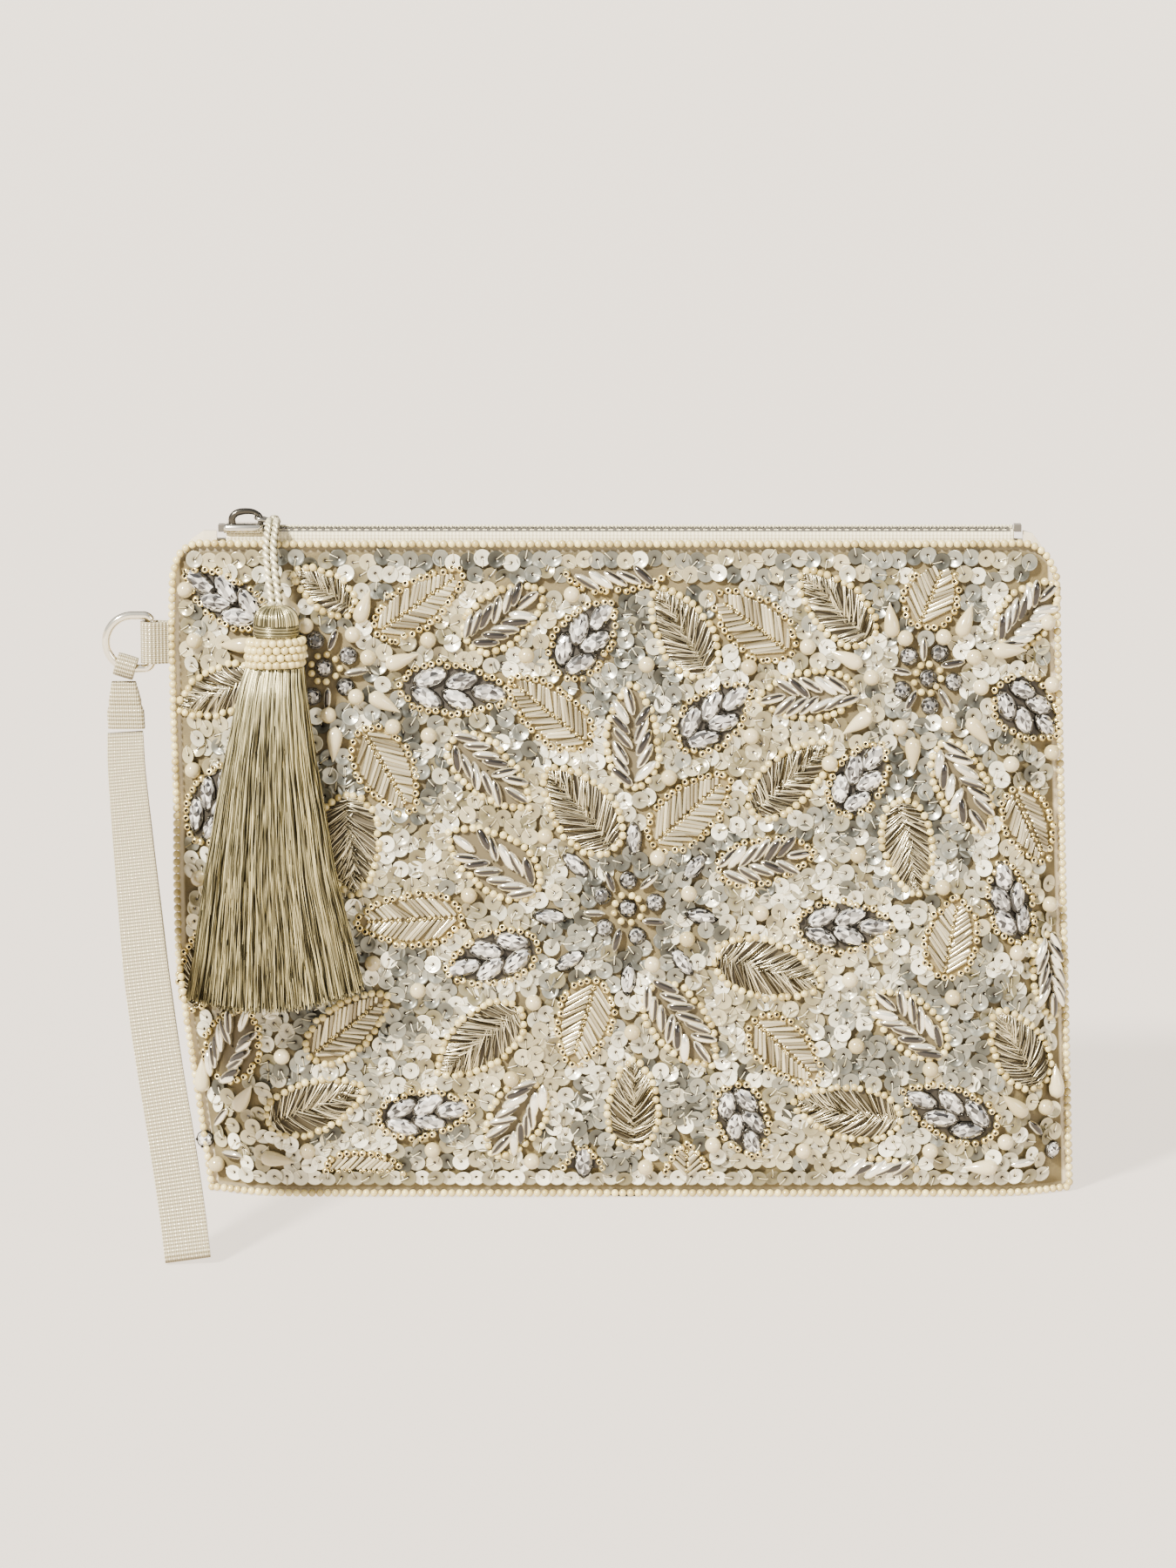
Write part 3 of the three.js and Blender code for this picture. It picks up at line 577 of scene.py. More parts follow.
BUGLE_LEAVES = [
    (-59.3, 173.9, 35, 32.7, 15.5), (35.5, 168, 143, 30, 18), (87, 176.6, 68, 22, 18, CEILING_CUT),
    (-22.5, 142.4, 141, 32, 17), (-68.8, 125.1, -60, 29.5, 18), (18.3, 113.7, 42, 31.5, 18),
    (115, 109.1, -66, 26, 15.5), (-63, 82, 183, 33, 17), (-12.5, 51.8, -106, 28, 18),
    (93.5, 76.9, 80, 26, 17), (46, 43.7, -43, 28, 17), (-80.5, 50.8, 39, 31, 16.5),
    (17.5, 4.3, 90, 28, 17, FLOOR_CUT), (-76, 8, 0, 25, 14, FLOOR_CUT),
]
RICE_LEAVES = [
    (-35, 170, 34, 28.5, 17.5), (-1.3, 183.5, 4, 34, 14, CEILING_CUT), (114.5, 171.3, 45, 24, 17),
    (1.5, 135.3, 92, 31.5, 17), (51.3, 147.2, 185, 30, 15.5), (-39.3, 124.6, -41, 31.5, 16.5),
    (96.5, 120, -64, 30.5, 16.5), (-38.5, 99, 147, 32.5, 18.5), (40, 99.2, 12, 30, 15),
    (16, 50.8, -53, 31, 18), (121.3, 65, -85, 27, 12.5), (81.5, 51.8, 139, 29, 16.5),
    (-32.5, 23, -120, 27, 17.5), (-113.3, 45.2, 65, 26, 18), (75, 7, 0, 24, 12, FLOOR_CUT),
    (-100, 122, 75, 29, 17),
]
GOLD_RIMMED = {(-123, 67.5), (-1.3, 183.5), (40, 99.2), (-113.3, 45.2)}
PEARL_RIMMED = {(-80.5, 50.8)}
# Rosettes: the middle, then the five set stones round it.
ROSETTES = [
    ((-86.5, 155.1), [(-89, 163), (-79.6, 158.6), (-80.5, 149.6), (-90, 146.8), (-94.2, 155.5)]),
    ((86, 152), [(80.4, 158.4), (89.3, 159.4), (93.4, 151), (86.6, 144), (78.5, 148.6)]),
    ((0.3, 85.3), [(0.4, 93.4), (-7.2, 89), (8, 86.9), (-6.5, 79.5), (2.9, 77.2)]),
]
LOOSE_RICE = [
    (-5, 93, 110), (6.5, 93, 40), (-9.5, 83.8, 178), (7.6, 81.5, -5), (-2.9, 76, -105), (-116.6, 23.3, 45),
    (-113.6, 12.4, -3), (117.6, 20.6, -40), (114.5, 10.2, 5), (-84, 163, 70), (-77.5, 153.8, 10),
    (-85.5, 146.5, 85),
    (-95.5, 150.5, 30), (-93.5, 161, -50), (84.8, 160.5, 90), (93, 156, 10), (91, 146, -60), (81, 145.5, 60),
    (78.5, 154, -10),
]
EDGE_CHATONS = [(-122, 16.5), (123, 13.7)]
NAVETTES = [
    (2, 105.6, 92), (19.3, 97.2, 50), (21.3, 83, -12), (16, 69.5, -52), (0.3, 64.5, 85), (-16.5, 70, 30),
    (-22.3, 83, -3), (-14.8, 98, -42),
]
DROPS = [
    (-96.8, 173.3, 128), (-75.3, 172.3, 70), (-65, 157.1, 20), (-69.8, 145.2, -30), (-84, 133.3, -95),
    (-110.8, 161.7, 180), (75.3, 168.3, 95), (96.5, 168.3, 70), (108.3, 160.2, 0), (63, 157.6, 155),
    (66.3, 139.3, 215), (100.3, 137, -50), (81.8, 130.5, -90), (-110, 29.4, 50), (-101.3, 11.7, -5),
    (-122, 35.3, 90), (112, 27.4, 140), (103, 9.4, 180), (123, 33.5, 90),
]
PEARLS = [
    (-125.5, 178), (-122.9, 163.2), (-123.5, 125.6), (-56.8, 163.2), (-56.8, 135.5), (-15.8, 176.4),
    (-28.8, 158.6), (5.5, 156), (34.8, 155.3), (35.5, 135.3), (12, 123.3), (51.5, 161.2), (58, 127.4),
    (119.3, 168.5), (120.8, 150.5), (109.5, 127.2), (120.8, 130.7), (8.8, 100), (17.8, 89.6), (17.3, 76.4),
    (7.3, 69), (-23.5, 106.3), (-45.5, 89.1), (-27, 57.9), (1.5, 49.2), (38.5, 84), (66.3, 100.8),
    (90.8, 91.4),
    (120.5, 86.3), (111.8, 72.3), (64.3, 64.5), (94, 59.4), (-99.5, 42.1), (-60.3, 61.4), (-56.3, 14.5),
    (-33.5, 35.5), (-27.5, 11.2), (5.5, 9.4), (25, 16), (51.3, 14.2), (66.3, 45.2), (87.8, 38.3), (88, 14.2),
    (-73.3, 69.3), (-122, 93.9), (-92.5, 14.2), (-118, 9.4), (-91.8, 167.3), (-78.3, 164.7), (-74, 158.1),
    (-77.5, 146.7), (-85.5, 141.4), (79.3, 163.7), (90.3, 164), (99, 158.1), (69.8, 152.3), (101, 149.5),
    (78, 137.8), (92, 138.8), (109.5, 16.8), (120.3, 26.6), (-67, 138), (-106, 105), (-94, 110), (-99, 75),
]
SEED = 2.3
SEQUIN = 5.0


def lifted(x, z):
    """The drawing is flat and the pouch is fuller below, so a place on it sits a little higher up there."""
    x, z = np.asarray(x, float), np.asarray(z, float)
    for _ in range(2):
        proud = -front.at(x, z) + 1 + front.at(0, 0)
        z_there = z + proud * math.tan(VIEW_LIFT)
    x_there = x * (1 - proud / VIEW_FAR)
    return x_there, z_there


class Leaf:
    """A leaf on the cloth, with u along it towards the tip and v across it."""

    def __init__(self, x, z, turn, length, width, keeps=(-10, 300)):
        self.x, self.z = (float(a) for a in lifted(x, z))
        self.turn, self.keeps = turn, keeps
        self.length, self.width = length - SEED, width - SEED
        a = math.radians(turn)
        self.c, self.s = math.cos(a), math.sin(a)

    def half(self, u, grow=0.0):
        t = np.clip(u / (self.length + 2 * grow) + 0.5, 0, 1)
        return (self.width / 2 + grow) * t**0.5 * (1 - t) ** 0.72 / (0.41**0.5 * 0.59**0.72)

    def world(self, u, v):
        return self.x + u * self.c - v * self.s, self.z + u * self.s + v * self.c

    def local(self, x, z):
        dx, dz = x - self.x, z - self.z
        return dx * self.c + dz * self.s, -dx * self.s + dz * self.c

    def kept(self, z):
        return (z > self.keeps[0]) & (z < self.keeps[1])

    def covers(self, x, z, grow):
        u, v = self.local(x, z)
        inside = (np.abs(v) < self.half(u, grow)) & (np.abs(u) < self.length / 2 + grow)
        return inside & (z > self.keeps[0] - 1) & (z < self.keeps[1] + 1)

    def rim(self, pitch):
        """Evenly spaced places round the outline, with the way that it runs at each."""
        t = (1 - np.cos(np.linspace(0, np.pi, 120))) / 2
        u = (t - 0.5) * self.length
        v = self.half(u)
        u, v = np.concatenate([u, u[-2:0:-1]]), np.concatenate([v, -v[-2:0:-1]])
        along = np.concatenate([[0], np.cumsum(np.hypot(np.diff(u, append=u[0]), np.diff(v, append=v[0])))])
        at = np.arange(0, along[-1] - pitch / 2, along[-1] / round(along[-1] / pitch))
        ru = np.interp(at, along, np.append(u, u[0]))
        rv = np.interp(at, along, np.append(v, v[0]))
        x, z = self.world(ru, rv)
        keep = self.kept(z)
        run = np.degrees(np.arctan2(np.gradient(z), np.gradient(x)))
        return x[keep], z[keep], run[keep]


def seed_shape(hole=True):
    if not hole:
        return ball(9, 6)
    profile = [(0.05, 0.4), (0.38, 0.5), (0.44, 0.8), (0.66, 0.74), (0.94, 0.32), (1, -0.1), (0.8, -0.6)]
    points, faces = turned_shape(profile, 9)
    # The hole is painted black, with a little darker ring round it, as painted shade; the crown is a little
    # lighter, a faint painted highlight.
    return points, faces, np.repeat([PAINTED_BLACK, PAINTED_BLACK, -0.1, 0.1, 0, 0, 0], 9)


def put_seeds(stocks, gold, x, z, lift=1.15, size=1.16):
    """Seed beads on the front. Gold ones show their holes, painted black as painted shade."""
    count = len(x)
    turn = rng.uniform(0, 360, count)
    if gold:
        places = seat(x, z, lift, turn, 0.28)
        stocks["gold"].copies(seed_shape(), places, rng.uniform(0.35, 1, count), np.full((count, 3), size))
    else:
        spread = size * rng.uniform(0.93, 1.05, (count, 1)) * np.array([[1, 1, 0.92]])
        places = seat(x, z, lift, turn, 0.2)
        stocks["seed_pearl"].copies(seed_shape(False), places, rng.uniform(0.2, 1, count), spread)


def marquise(length, width, count=10):
    at = np.arange(count) * 2 * np.pi / count
    x = np.cos(at)
    return np.stack([x * length / 2, np.sign(np.sin(at)) * (1 - x**2) ** 0.62 * width / 2], 1)


def stone_shape(outline):
    """A cut stone over the xy plane: a girdle, two rows of facets and a table. Each facet gets a random tone
    that paints the light and dark reflections of the cut.
    """
    count = len(outline)
    half_on = (outline + np.roll(outline, -1, 0)) / 2
    rings = [(outline, 0.9), (half_on * 0.84, 1.5), (outline * 0.52, 2.05)]
    points, faces, tones = [], [], []

    def facet(*corners):
        start = len(points)
        points.extend(corners)
        faces.append([start + i for i in range(len(corners))] + [-1] * (4 - len(corners)))
        tones.extend([rng.choice((-0.6, -0.35, -0.1, 0.0, 0.15, 0.4))] * len(corners))

    solid = [[(*p, z) for p in ring] for ring, z in rings]
    for low, high, step in ((solid[0], solid[1], 0), (solid[1], solid[2], 1)):
        for i in range(count):
            k = (i + 1) % count
            if step == 0:
                facet(low[i], low[k], high[i])
                facet(low[k], high[k], high[i])
            else:
                facet(low[i], low[k], high[k])
                facet(low[i], high[k], high[i])
    middle = (0, 0, 2.1)
    for i in range(count):
        facet(solid[2][i], solid[2][(i + 1) % count], middle)
    return np.array(points, float), np.array(faces), np.array(tones)


def setting_shape(outline):
    """The dark cup round a stone, with claws over its edge."""
    rings = []
    for grow, z in ((1.1, 0), (1.12, 0.8), (1.05, 1.1), (0.97, 1.0), (0.9, 0.7)):
        rings.append(np.column_stack([outline * grow, np.full(len(outline), z)]))
    points, faces = [np.concatenate(rings)], [quads(5, len(outline), True)]
    start = len(points[0])
    claws = [0, len(outline) // 4, len(outline) // 2, 3 * len(outline) // 4]
    claw_points, claw_faces = ball(6, 4)
    for claw in claws:
        points.append(claw_points * 0.5 + np.array([*(outline[claw] * 0.94), 1.35]))
        faces.append(claw_faces + start)
        start += len(claw_points)
    return np.concatenate(points), np.concatenate(faces)


def put_stones(stocks, outline, x, z, turn, tone=0.6):
    count = len(x)
    places = seat(x, z, 0.3, turn, 0.07)
    shapes = [stone_shape(outline) for _ in range(6)]
    pick = rng.integers(0, len(shapes), count)
    for i, shape in enumerate(shapes):
        some = pick == i
        stocks["stone"].copies(shape, places[some], tone + rng.uniform(-0.15, 0.2, some.sum()))
    stocks["setting"].copies(setting_shape(outline), places, rng.uniform(0, 0.8, count))


def lay_shade_bed(leaf, stocks, tone):
    """A dark patch under a leaf's beads: painted shade in the gaps between them."""
    x, z, _ = leaf.rim(0.9)
    count = len(x)
    middle_x, middle_z = x.mean(), z.mean()
    rings = []
    for share in (1, 0.6, 0.05):
        around = seat(middle_x + (x - middle_x) * share, middle_z + (z - middle_z) * share, 0.55)
        rings.append(around[:, :, 3])
    stocks["bed"].add(np.concatenate(rings), quads(3, count, True), tone)


def fill_stones(leaf, stocks):
    L, W = leaf.length, leaf.width
    laid = [(0.31 * L, 0, 0), (0.05 * L, 0.19 * W, 24), (0.03 * L, -0.19 * W, -24),
            (-0.24 * L, 0.2 * W, 26), (-0.26 * L, -0.2 * W, -26)]
    u, v, turn = (np.array(a, float) for a in zip(*laid))
    x, z = leaf.world(u, v)
    keep = leaf.kept(z)
    put_stones(stocks, marquise(min(10.0, L * 0.385), 5.3), x[keep], z[keep], leaf.turn + turn[keep])


def fill_wires(leaf, stocks):
    """Fine bullion wire couched from the midrib out to the rim, in uneven crossing rows."""
    for side in (1, -1):
        for u0 in np.arange(-0.5, 0.43, 0.0115) * leaf.length:
            u0 += rng.normal(0, 0.3)
            lean = math.radians(rng.normal(36 + 40 * max(0, -0.15 - u0 / leaf.length) / 0.34, 8))
            reach = np.arange(0, 14, 0.25)
            u = u0 + reach * math.cos(lean)
            v = reach * math.sin(lean) - rng.uniform(0.2, 1.6)
            inside = np.abs(v) < leaf.half(u) - 0.3
            stop = int(np.argmin(inside[4:])) + 4 if not inside[4:].all() else len(reach) - 1
            if stop < 6:
                continue
            pick = np.linspace(0, stop, 6).astype(int)
            t = np.linspace(0, 1, 6)
            u, v = u[pick], side * v[pick]
            bow = rng.normal(0, 0.35) * np.sin(t * np.pi)
            x, z = leaf.world(u + bow, v)
            if not leaf.kept(z).all():
                continue
            lift = 0.7 + rng.uniform(0.5, 1.5) * np.sin(t * np.pi * 0.9 + 0.15)
            places = seat(x, z, lift)
            points, faces = tube(places[:, :, 3], rng.uniform(0.13, 0.24), 4)
            stocks["wire"].add(points, faces, np.clip(rng.normal(0.5, 0.4), 0, 1))


def fill_bugles(leaf, stocks):
    ends = [(0.3, 0.5), (0.62, 0.5), (0.66, 0.44), (0.66, -0.44), (0.62, -0.5), (0.3, -0.5), (0.3, 0.4)]
    points, faces = turned_shape(ends, 6)
    # Each bugle is painted lighter down one side and darker down the other, as painted light and shade.
    shape = (points[:, [2, 0, 1]], faces, np.tile((0.3, 0, -0.3, -0.3, 0, 0.3), 7))
    for side in (1, -1):
        for u0 in np.arange(-0.46, 0.36, 1.55 / leaf.length) * leaf.length:
            lean = math.radians(rng.normal(46, 3))
            reach = np.arange(0.6, 12, 0.2)
            u, v = u0 + reach * math.cos(lean), reach * math.sin(lean)
            inside = v < leaf.half(u) - 1.15
            if inside[:8].sum() < 8:
                continue
            stop = int(np.argmin(inside)) if not inside.all() else len(reach) - 1
            length = reach[min(stop, len(reach) - 1)] - 0.6
            middle = 0.6 + length / 2
            x, z = leaf.world(u0 + middle * math.cos(lean), side * middle * math.sin(lean))
            if not leaf.kept(np.array(z)):
                continue
            place = seat([x], [z], 0.95, leaf.turn + side * math.degrees(lean), 0.06)
            stocks["bugle"].copies(shape, place, [rng.uniform(0.2, 1)], [(length * 0.97, 0.98, 1.0)])
    u = np.arange(-0.42, 0.4, 1.35 / leaf.length) * leaf.length
    x, z = leaf.world(u, np.zeros_like(u))
    keep = leaf.kept(z)
    put_seeds(stocks, True, x[keep], z[keep], 1.1, 0.62)


def rice_shape(streak):
    """A long faceted bead lined with silver. One or two of its sides are painted black, as the painted dark
    reflection in its lining.
    """
    at = np.linspace(-1, 1, 7)
    profile = np.stack([np.sqrt(np.maximum(1 - np.abs(at) ** 2.6, 0.1)), at], 1)
    points, faces = turned_shape(profile, 10)
    tones = np.tile(np.where(np.isin(np.arange(10), streak), PAINTED_BLACK, 0.15), 7)
    tones[:10] = tones[-10:] = -0.2
    return points[:, [2, 0, 1]], faces, tones


def put_rice(stocks, x, z, turn, length=7.6, width=2.7):
    count = len(x)
    sizes = np.stack([np.full(count, length / 2), np.full(count, width / 2), np.full(count, width / 2)], 1)
    sizes *= rng.uniform(0.93, 1.05, (count, 1))
    places, tones = seat(x, z, 1.6, turn, 0.1), rng.uniform(0.5, 1, count)
    pick = rng.integers(0, 4, count)
    for i, streak in enumerate(([3], [2], [2, 3], [7])):
        stocks["rice"].copies(rice_shape(streak), places[pick == i], tones[pick == i], sizes[pick == i])


def fill_rice(leaf, stocks):
    L, W = leaf.length, leaf.width
    laid = [(0.34 * L, 0, 0)]
    for u in (0.24, 0.11, -0.02, -0.15, -0.28, -0.4):
        laid += [(u * L, 0.21 * W, 36), (u * L - 0.05 * L, -0.21 * W, -36)]
    u, v, turn = (np.array(a, float) for a in zip(*laid))
    u, v = u + rng.normal(0, 0.25, len(u)), v + rng.normal(0, 0.25, len(v))
    near = np.abs(v) < leaf.half(u) - 0.8
    x, z = leaf.world(u, v)
    keep = leaf.kept(z) & near
    put_rice(stocks, x[keep], z[keep], leaf.turn + turn[keep] + rng.normal(0, 7, keep.sum()), 8.0, 3.0)


def drop_shape():
    at = np.linspace(0, 1, 12)
    radius = 2.55 * np.sin(np.clip(at * 1.06, 0, 1) ** 0.72 * np.pi) ** 0.62 * (1 - 0.42 * at) + 0.12
    radius[0] = radius[-1] = 0.15
    profile = np.stack([radius, at * 10.2 - 4.6], 1)
    points, faces = turned_shape(profile, 16)
    return points[:, [2, 0, 1]], faces


def sequin_shape():
    profile = [(0.05, 0.0), (0.42, 0.0), (0.48, 0.06), (1.1, 0.1), (2.0, 0.32), (2.4, 0.46), (2.52, 0.42)]
    points, faces = turned_shape(profile, 18)
    # The hole is painted black as painted shade, the cup gets a little lighter towards the rim as a painted
    # highlight, and a dark ring round the edge is a painted shadow line.
    return points, faces, np.repeat([PAINTED_BLACK, PAINTED_BLACK, -0.1, 0.05, 0.1, 0.1, -0.8], 18)


def put_sequins(stocks, x, z, lift, kind=None):
    """Cup sequins of three finishes, each tied down by a thread from its hole to its edge."""
    count = len(x)
    if kind is None:
        drift = np.sin(x / 13 + 1.3) + np.sin(z / 11 - x / 29) + rng.normal(0, 0.75, count)
        kind = np.take((2, 0, 1), np.digitize(drift, (-1.0, 0.55)))
    turn = rng.uniform(0, 360, count)
    places = seat(x, z, lift, turn, 0.13)
    tones = rng.uniform(0, 1, count)
    for i, name in enumerate(("sequin_white", "sequin_silver", "sequin_pearly")):
        some = kind == i
        stocks[name].copies(sequin_shape(), places[some], tones[some])
    line = [(0.1, 0, 0.25), (1.2, 0, 0.55), (2.55, 0, 0.62), (2.75, 0, 0.1)]
    thread = tube(np.array(line), 0.13, 4)
    stocks["thread"].copies(thread, places, rng.uniform(0, 1, count))


def free_ground(leaves, spots):
    """Places for sequins: a loose even scatter over what the motifs leave bare."""
    taken_x, taken_z, taken_r = (np.array(a) for a in zip(*spots))
    grown = rng.uniform((LEFT_HIGH, 10), (RIGHT_LOW, TOP - 13), (34000, 2))
    x, z = grown[:, 0], grown[:, 1]
    good = (x > side_x(z, True) + 4.2) & (x < side_x(z, False) - 4.2)
    for leaf in leaves:
        good &= ~leaf.covers(x, z, 1.5)
    x, z = x[good], z[good]
    apart = np.hypot(x[:, None] - taken_x, z[:, None] - taken_z)
    good = (apart > taken_r).all(1)
    x, z = x[good], z[good]
    kept = []
    for px, pz in zip(x, z):
        if kept:
            done = np.array(kept)
            if (np.hypot(done[:, 0] - px, done[:, 1] - pz) < 2.75).any():
                continue
        kept.append((px, pz))
    return np.array(kept)


def embroidery(made):
    names = (
        "seed_pearl", "gold", "pearl", "sequin_white", "sequin_silver", "sequin_pearly", "thread",
        "wire", "bugle", "rice", "stone", "setting", "bed",
    )
    stocks = {name: Stock() for name in names}
    leaves = []
    kinds = (
        # The last number of each kind is how dark its patch of painted shade is.
        (STONE_LEAVES, fill_stones, True, 0.0),
        (WIRE_LEAVES, fill_wires, False, 0.15),
        (BUGLE_LEAVES, fill_bugles, True, 0.5),
        (RICE_LEAVES, fill_rice, False, 0.25),
    )
    for rows, fill, gold, shade_bed_tone in kinds:
        for row in rows:
            leaf = Leaf(*row)
            leaves.append(leaf)
            lay_shade_bed(leaf, stocks, shade_bed_tone)
            fill(leaf, stocks)
            x, z, _ = leaf.rim(SEED)
            rimmed = (gold or row[:2] in GOLD_RIMMED) and row[:2] not in PEARL_RIMMED
            put_seeds(stocks, rimmed, x, z)
    spots = []

    def laid(rows, clear):
        """Where a list's rows sit. The sequins stay clear of them by so much."""
        x, z = lifted(*np.array([row[:2] for row in rows]).T)
        spots.extend((a, b, clear) for a, b in zip(x, z))
        return x, z

    def turns(rows):
        return np.array([row[2] for row in rows], float)

    round_at = np.arange(10) * np.pi / 5
    round_outline = np.stack([np.cos(round_at), np.sin(round_at)], 1) * 2.4
    for middle, ring in ROSETTES:
        cx, cz = lifted(*middle)
        x, z = lifted(*np.array([middle, *ring]).T)
        put_stones(stocks, round_outline, x, z, 0, 0.3)
        at = np.arange(9) * 2 * np.pi / 9
        put_seeds(stocks, False, cx + 3.9 * np.cos(at), cz + 3.9 * np.sin(at), 1.2, 1.05)
        spots.append((cx, cz, 11.5))
    x, z = laid(EDGE_CHATONS, 4)
    put_stones(stocks, round_outline, x, z, 0)
    x, z = laid(LOOSE_RICE, 3)
    put_rice(stocks, x, z, turns(LOOSE_RICE), 6.6, 2.4)
    x, z = laid(NAVETTES, 4)
    put_stones(stocks, marquise(9, 4.4), x, z, turns(NAVETTES))
    x, z = laid(DROPS, 4.2)
    places = seat(x, z, 2.1, turns(DROPS), 0.04)
    stocks["pearl"].copies(drop_shape(), places, rng.uniform(0.4, 1, len(x)))
    x, z = laid(PEARLS, 3.4)
    round_pearls = np.full((len(x), 3), 2.4)
    stocks["pearl"].copies(ball(16, 10), seat(x, z, 1.9), rng.uniform(0.3, 1, len(x)), round_pearls)

    ground = free_ground(leaves, spots)
    put_sequins(stocks, ground[:, 0], ground[:, 1], rng.uniform(0.2, 1.2, len(ground)))
    for z_row, pitch, start in ((TOP - 5.2, 4.1, 0), (TOP - 9.4, 4.1, 2.1)):
        x = np.arange(LEFT_HIGH + 6 + start, RIGHT_HIGH - 6, pitch)
        z = z_row + rng.normal(0, 0.5, len(x))
        clear = ~np.any([leaf.covers(x, z, 0.3) for leaf in leaves], axis=0)
        x, z = x[clear], z[clear]
        put_sequins(stocks, x, z, rng.uniform(0.3, 1.3, len(x)), rng.choice([0, 1, 1, 2], len(x)))
    x = np.arange(LEFT_LOW + 6, RIGHT_LOW - 5, 3.9)
    lift = 0.7 + 0.4 * (np.arange(len(x)) % 2)
    put_sequins(stocks, x, np.full(len(x), 6.6), lift, np.zeros(len(x), int))

    stones = [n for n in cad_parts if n.startswith(("crystal_leaf", "rosette"))]
    stand = {"stone": stones, "sequin_white": ["bead_field"]}
    for name, stock in stocks.items():
        slot = "set_stones" if name in ("stone", "setting") else "beadwork"
        nodes = stand.get(name, [])
        stock.piece("front_" + name, made[name], "bag", *nodes, smooth=name != "stone", slot=slot)


def edge_row(made):
    """The row of pearl seeds that outlines the front."""
    z = np.arange(1.3, TOP - 8, SEED)
    left = np.stack([side_x(z, True) - 0.4, np.full(len(z), -HEM - 1.7), z], 1)
    right = np.stack([side_x(z, False) + 0.4, np.full(len(z), -HEM - 1.7), z], 1)
    x = np.linspace(LEFT_HIGH + 0.6, RIGHT_HIGH - 0.6, 600)
    top = np.stack([x, front.at(x, top_z(x) - 1) - 1.3, top_z(x) - 0.5], 1)
    x = np.linspace(LEFT_LOW + 1, RIGHT_LOW - 1, 600)
    base = np.stack([x, front.at(x, np.full(len(x), 1.0)) - 1.3, np.full(len(x), 1.25)], 1)
    line = np.concatenate([left, top, right[::-1], base[::-1], left[:1]])
    along = distance_along(line)
    at = np.arange(0, along[-1], SEED * 0.98)
    spots = np.stack([np.interp(at, along, line[:, k]) for k in range(3)], 1)
    stock = Stock()
    stock.copies(ball(10, 7), upright(spots), rng.uniform(0.3, 1, len(spots)), np.full((len(spots), 3), 1.14))
    stock.piece("edge_bead_row", made["seed_pearl"], "bag", "edge_beads", slot="pearl_beads")


# ---------------------------------------------------------------- cloth, zip and metal


# The cloth turned under the base clears the floor by about its own thickness.
HEM_LIFT = 0.75


def cloth_panels(made):
    """The two outer panels with their turned hems, the linings and the slip pocket."""
    up, across = 60, 90
    seam = low_high("front_panel")[1][1]
    for name, side, look in (("front_cloth", front, "ground_cloth"), ("back_cloth", back, "satin")):
        face = face_grid(side, across, up)
        if side is back:
            wave = 0.25 * np.sin(face[..., 2] / 9 + face[..., 0] / 31) * np.sin(face[..., 0] / 23 + 1)
            room = np.clip(np.minimum(face[..., 2], TOP - face[..., 2]) / 30, 0, 1)
            face[..., 1] += wave * room
        under = []
        for share in (0.9, 0.6, 0.3, 0.0):
            row = face[0].copy()
            turned_in = seam + (row[:, 1] - seam) * share
            row[:, 1] = np.where(np.abs(row[:, 1]) > 2, turned_in, row[:, 1] * (0.2 + 0.8 * share))
            row[:, 2] = HEM_LIFT
            under.append(row)
        hem = []
        for drop in (0.4, 3, 6):
            row = face[-1].copy()
            row[:, 1] -= side.way * 1.3
            row[:, 2] -= drop
            hem.append(row)
        face[0, :, 2] = HEM_LIFT
        rows = np.array([*under[::-1], *face, *hem])
        # The cloth is painted dark only where the embroidery covers it, as painted shade between the beads.
        # Its turned edges stay pale.
        bare = np.ones(rows.shape[:2])
        bare[len(under) + 1 : len(under) + up - 1, 5:-5] = 0
        stock = Stock()
        stock.add(rows.reshape(-1, 3), quads(len(rows), across), bare.reshape(-1))
        piece = stock.piece(name, made[look], "bag", node_of(side), slot="panel_satin")
        thicken(piece, 0.7, -1 if side is front else 1)
    height = low_high("front_lining")[1][2] / TOP
    up, across = 40, 60
    for name, side in (("front_lining", front), ("back_lining", back)):
        face = face_grid(side, across, up, -2.3, 3.2, 3.2 / TOP, height)
        face[..., 1] += 0.12 * np.sin(face[..., 2] / 5 + face[..., 0] / 17)
        stock = Stock()
        stock.add(face.reshape(-1, 3), quads(up, across), 0.5)
        piece = stock.piece(name + "_cloth", made["lining"], "bag", name, slot="lining_cloth")
        flat = (face[:, -1, 0].mean() - face[:, 0, 0].mean(), face[-1, 0, 2] - face[0, 0, 2])
        [a * MM for a in flat]
    low, high = low_high("slip_pocket")
    up, across = 24, 40
    v, u = np.meshgrid(np.linspace(low[2], high[2], up), np.linspace(low[0], high[0], across), indexing="ij")
    face = np.stack([u, back.at(u, v) - 3.3 - 0.5 * (v > high[2] - 3), v], -1)
    stock = Stock()
    stock.add(face.reshape(-1, 3), quads(up, across), 0.5)
    piece = stock.piece("slip_pocket_cloth", made["lining"], "bag", "slip_pocket", slot="lining_cloth")


def node_of(side):
    return "front_panel" if side is front else "back_panel"


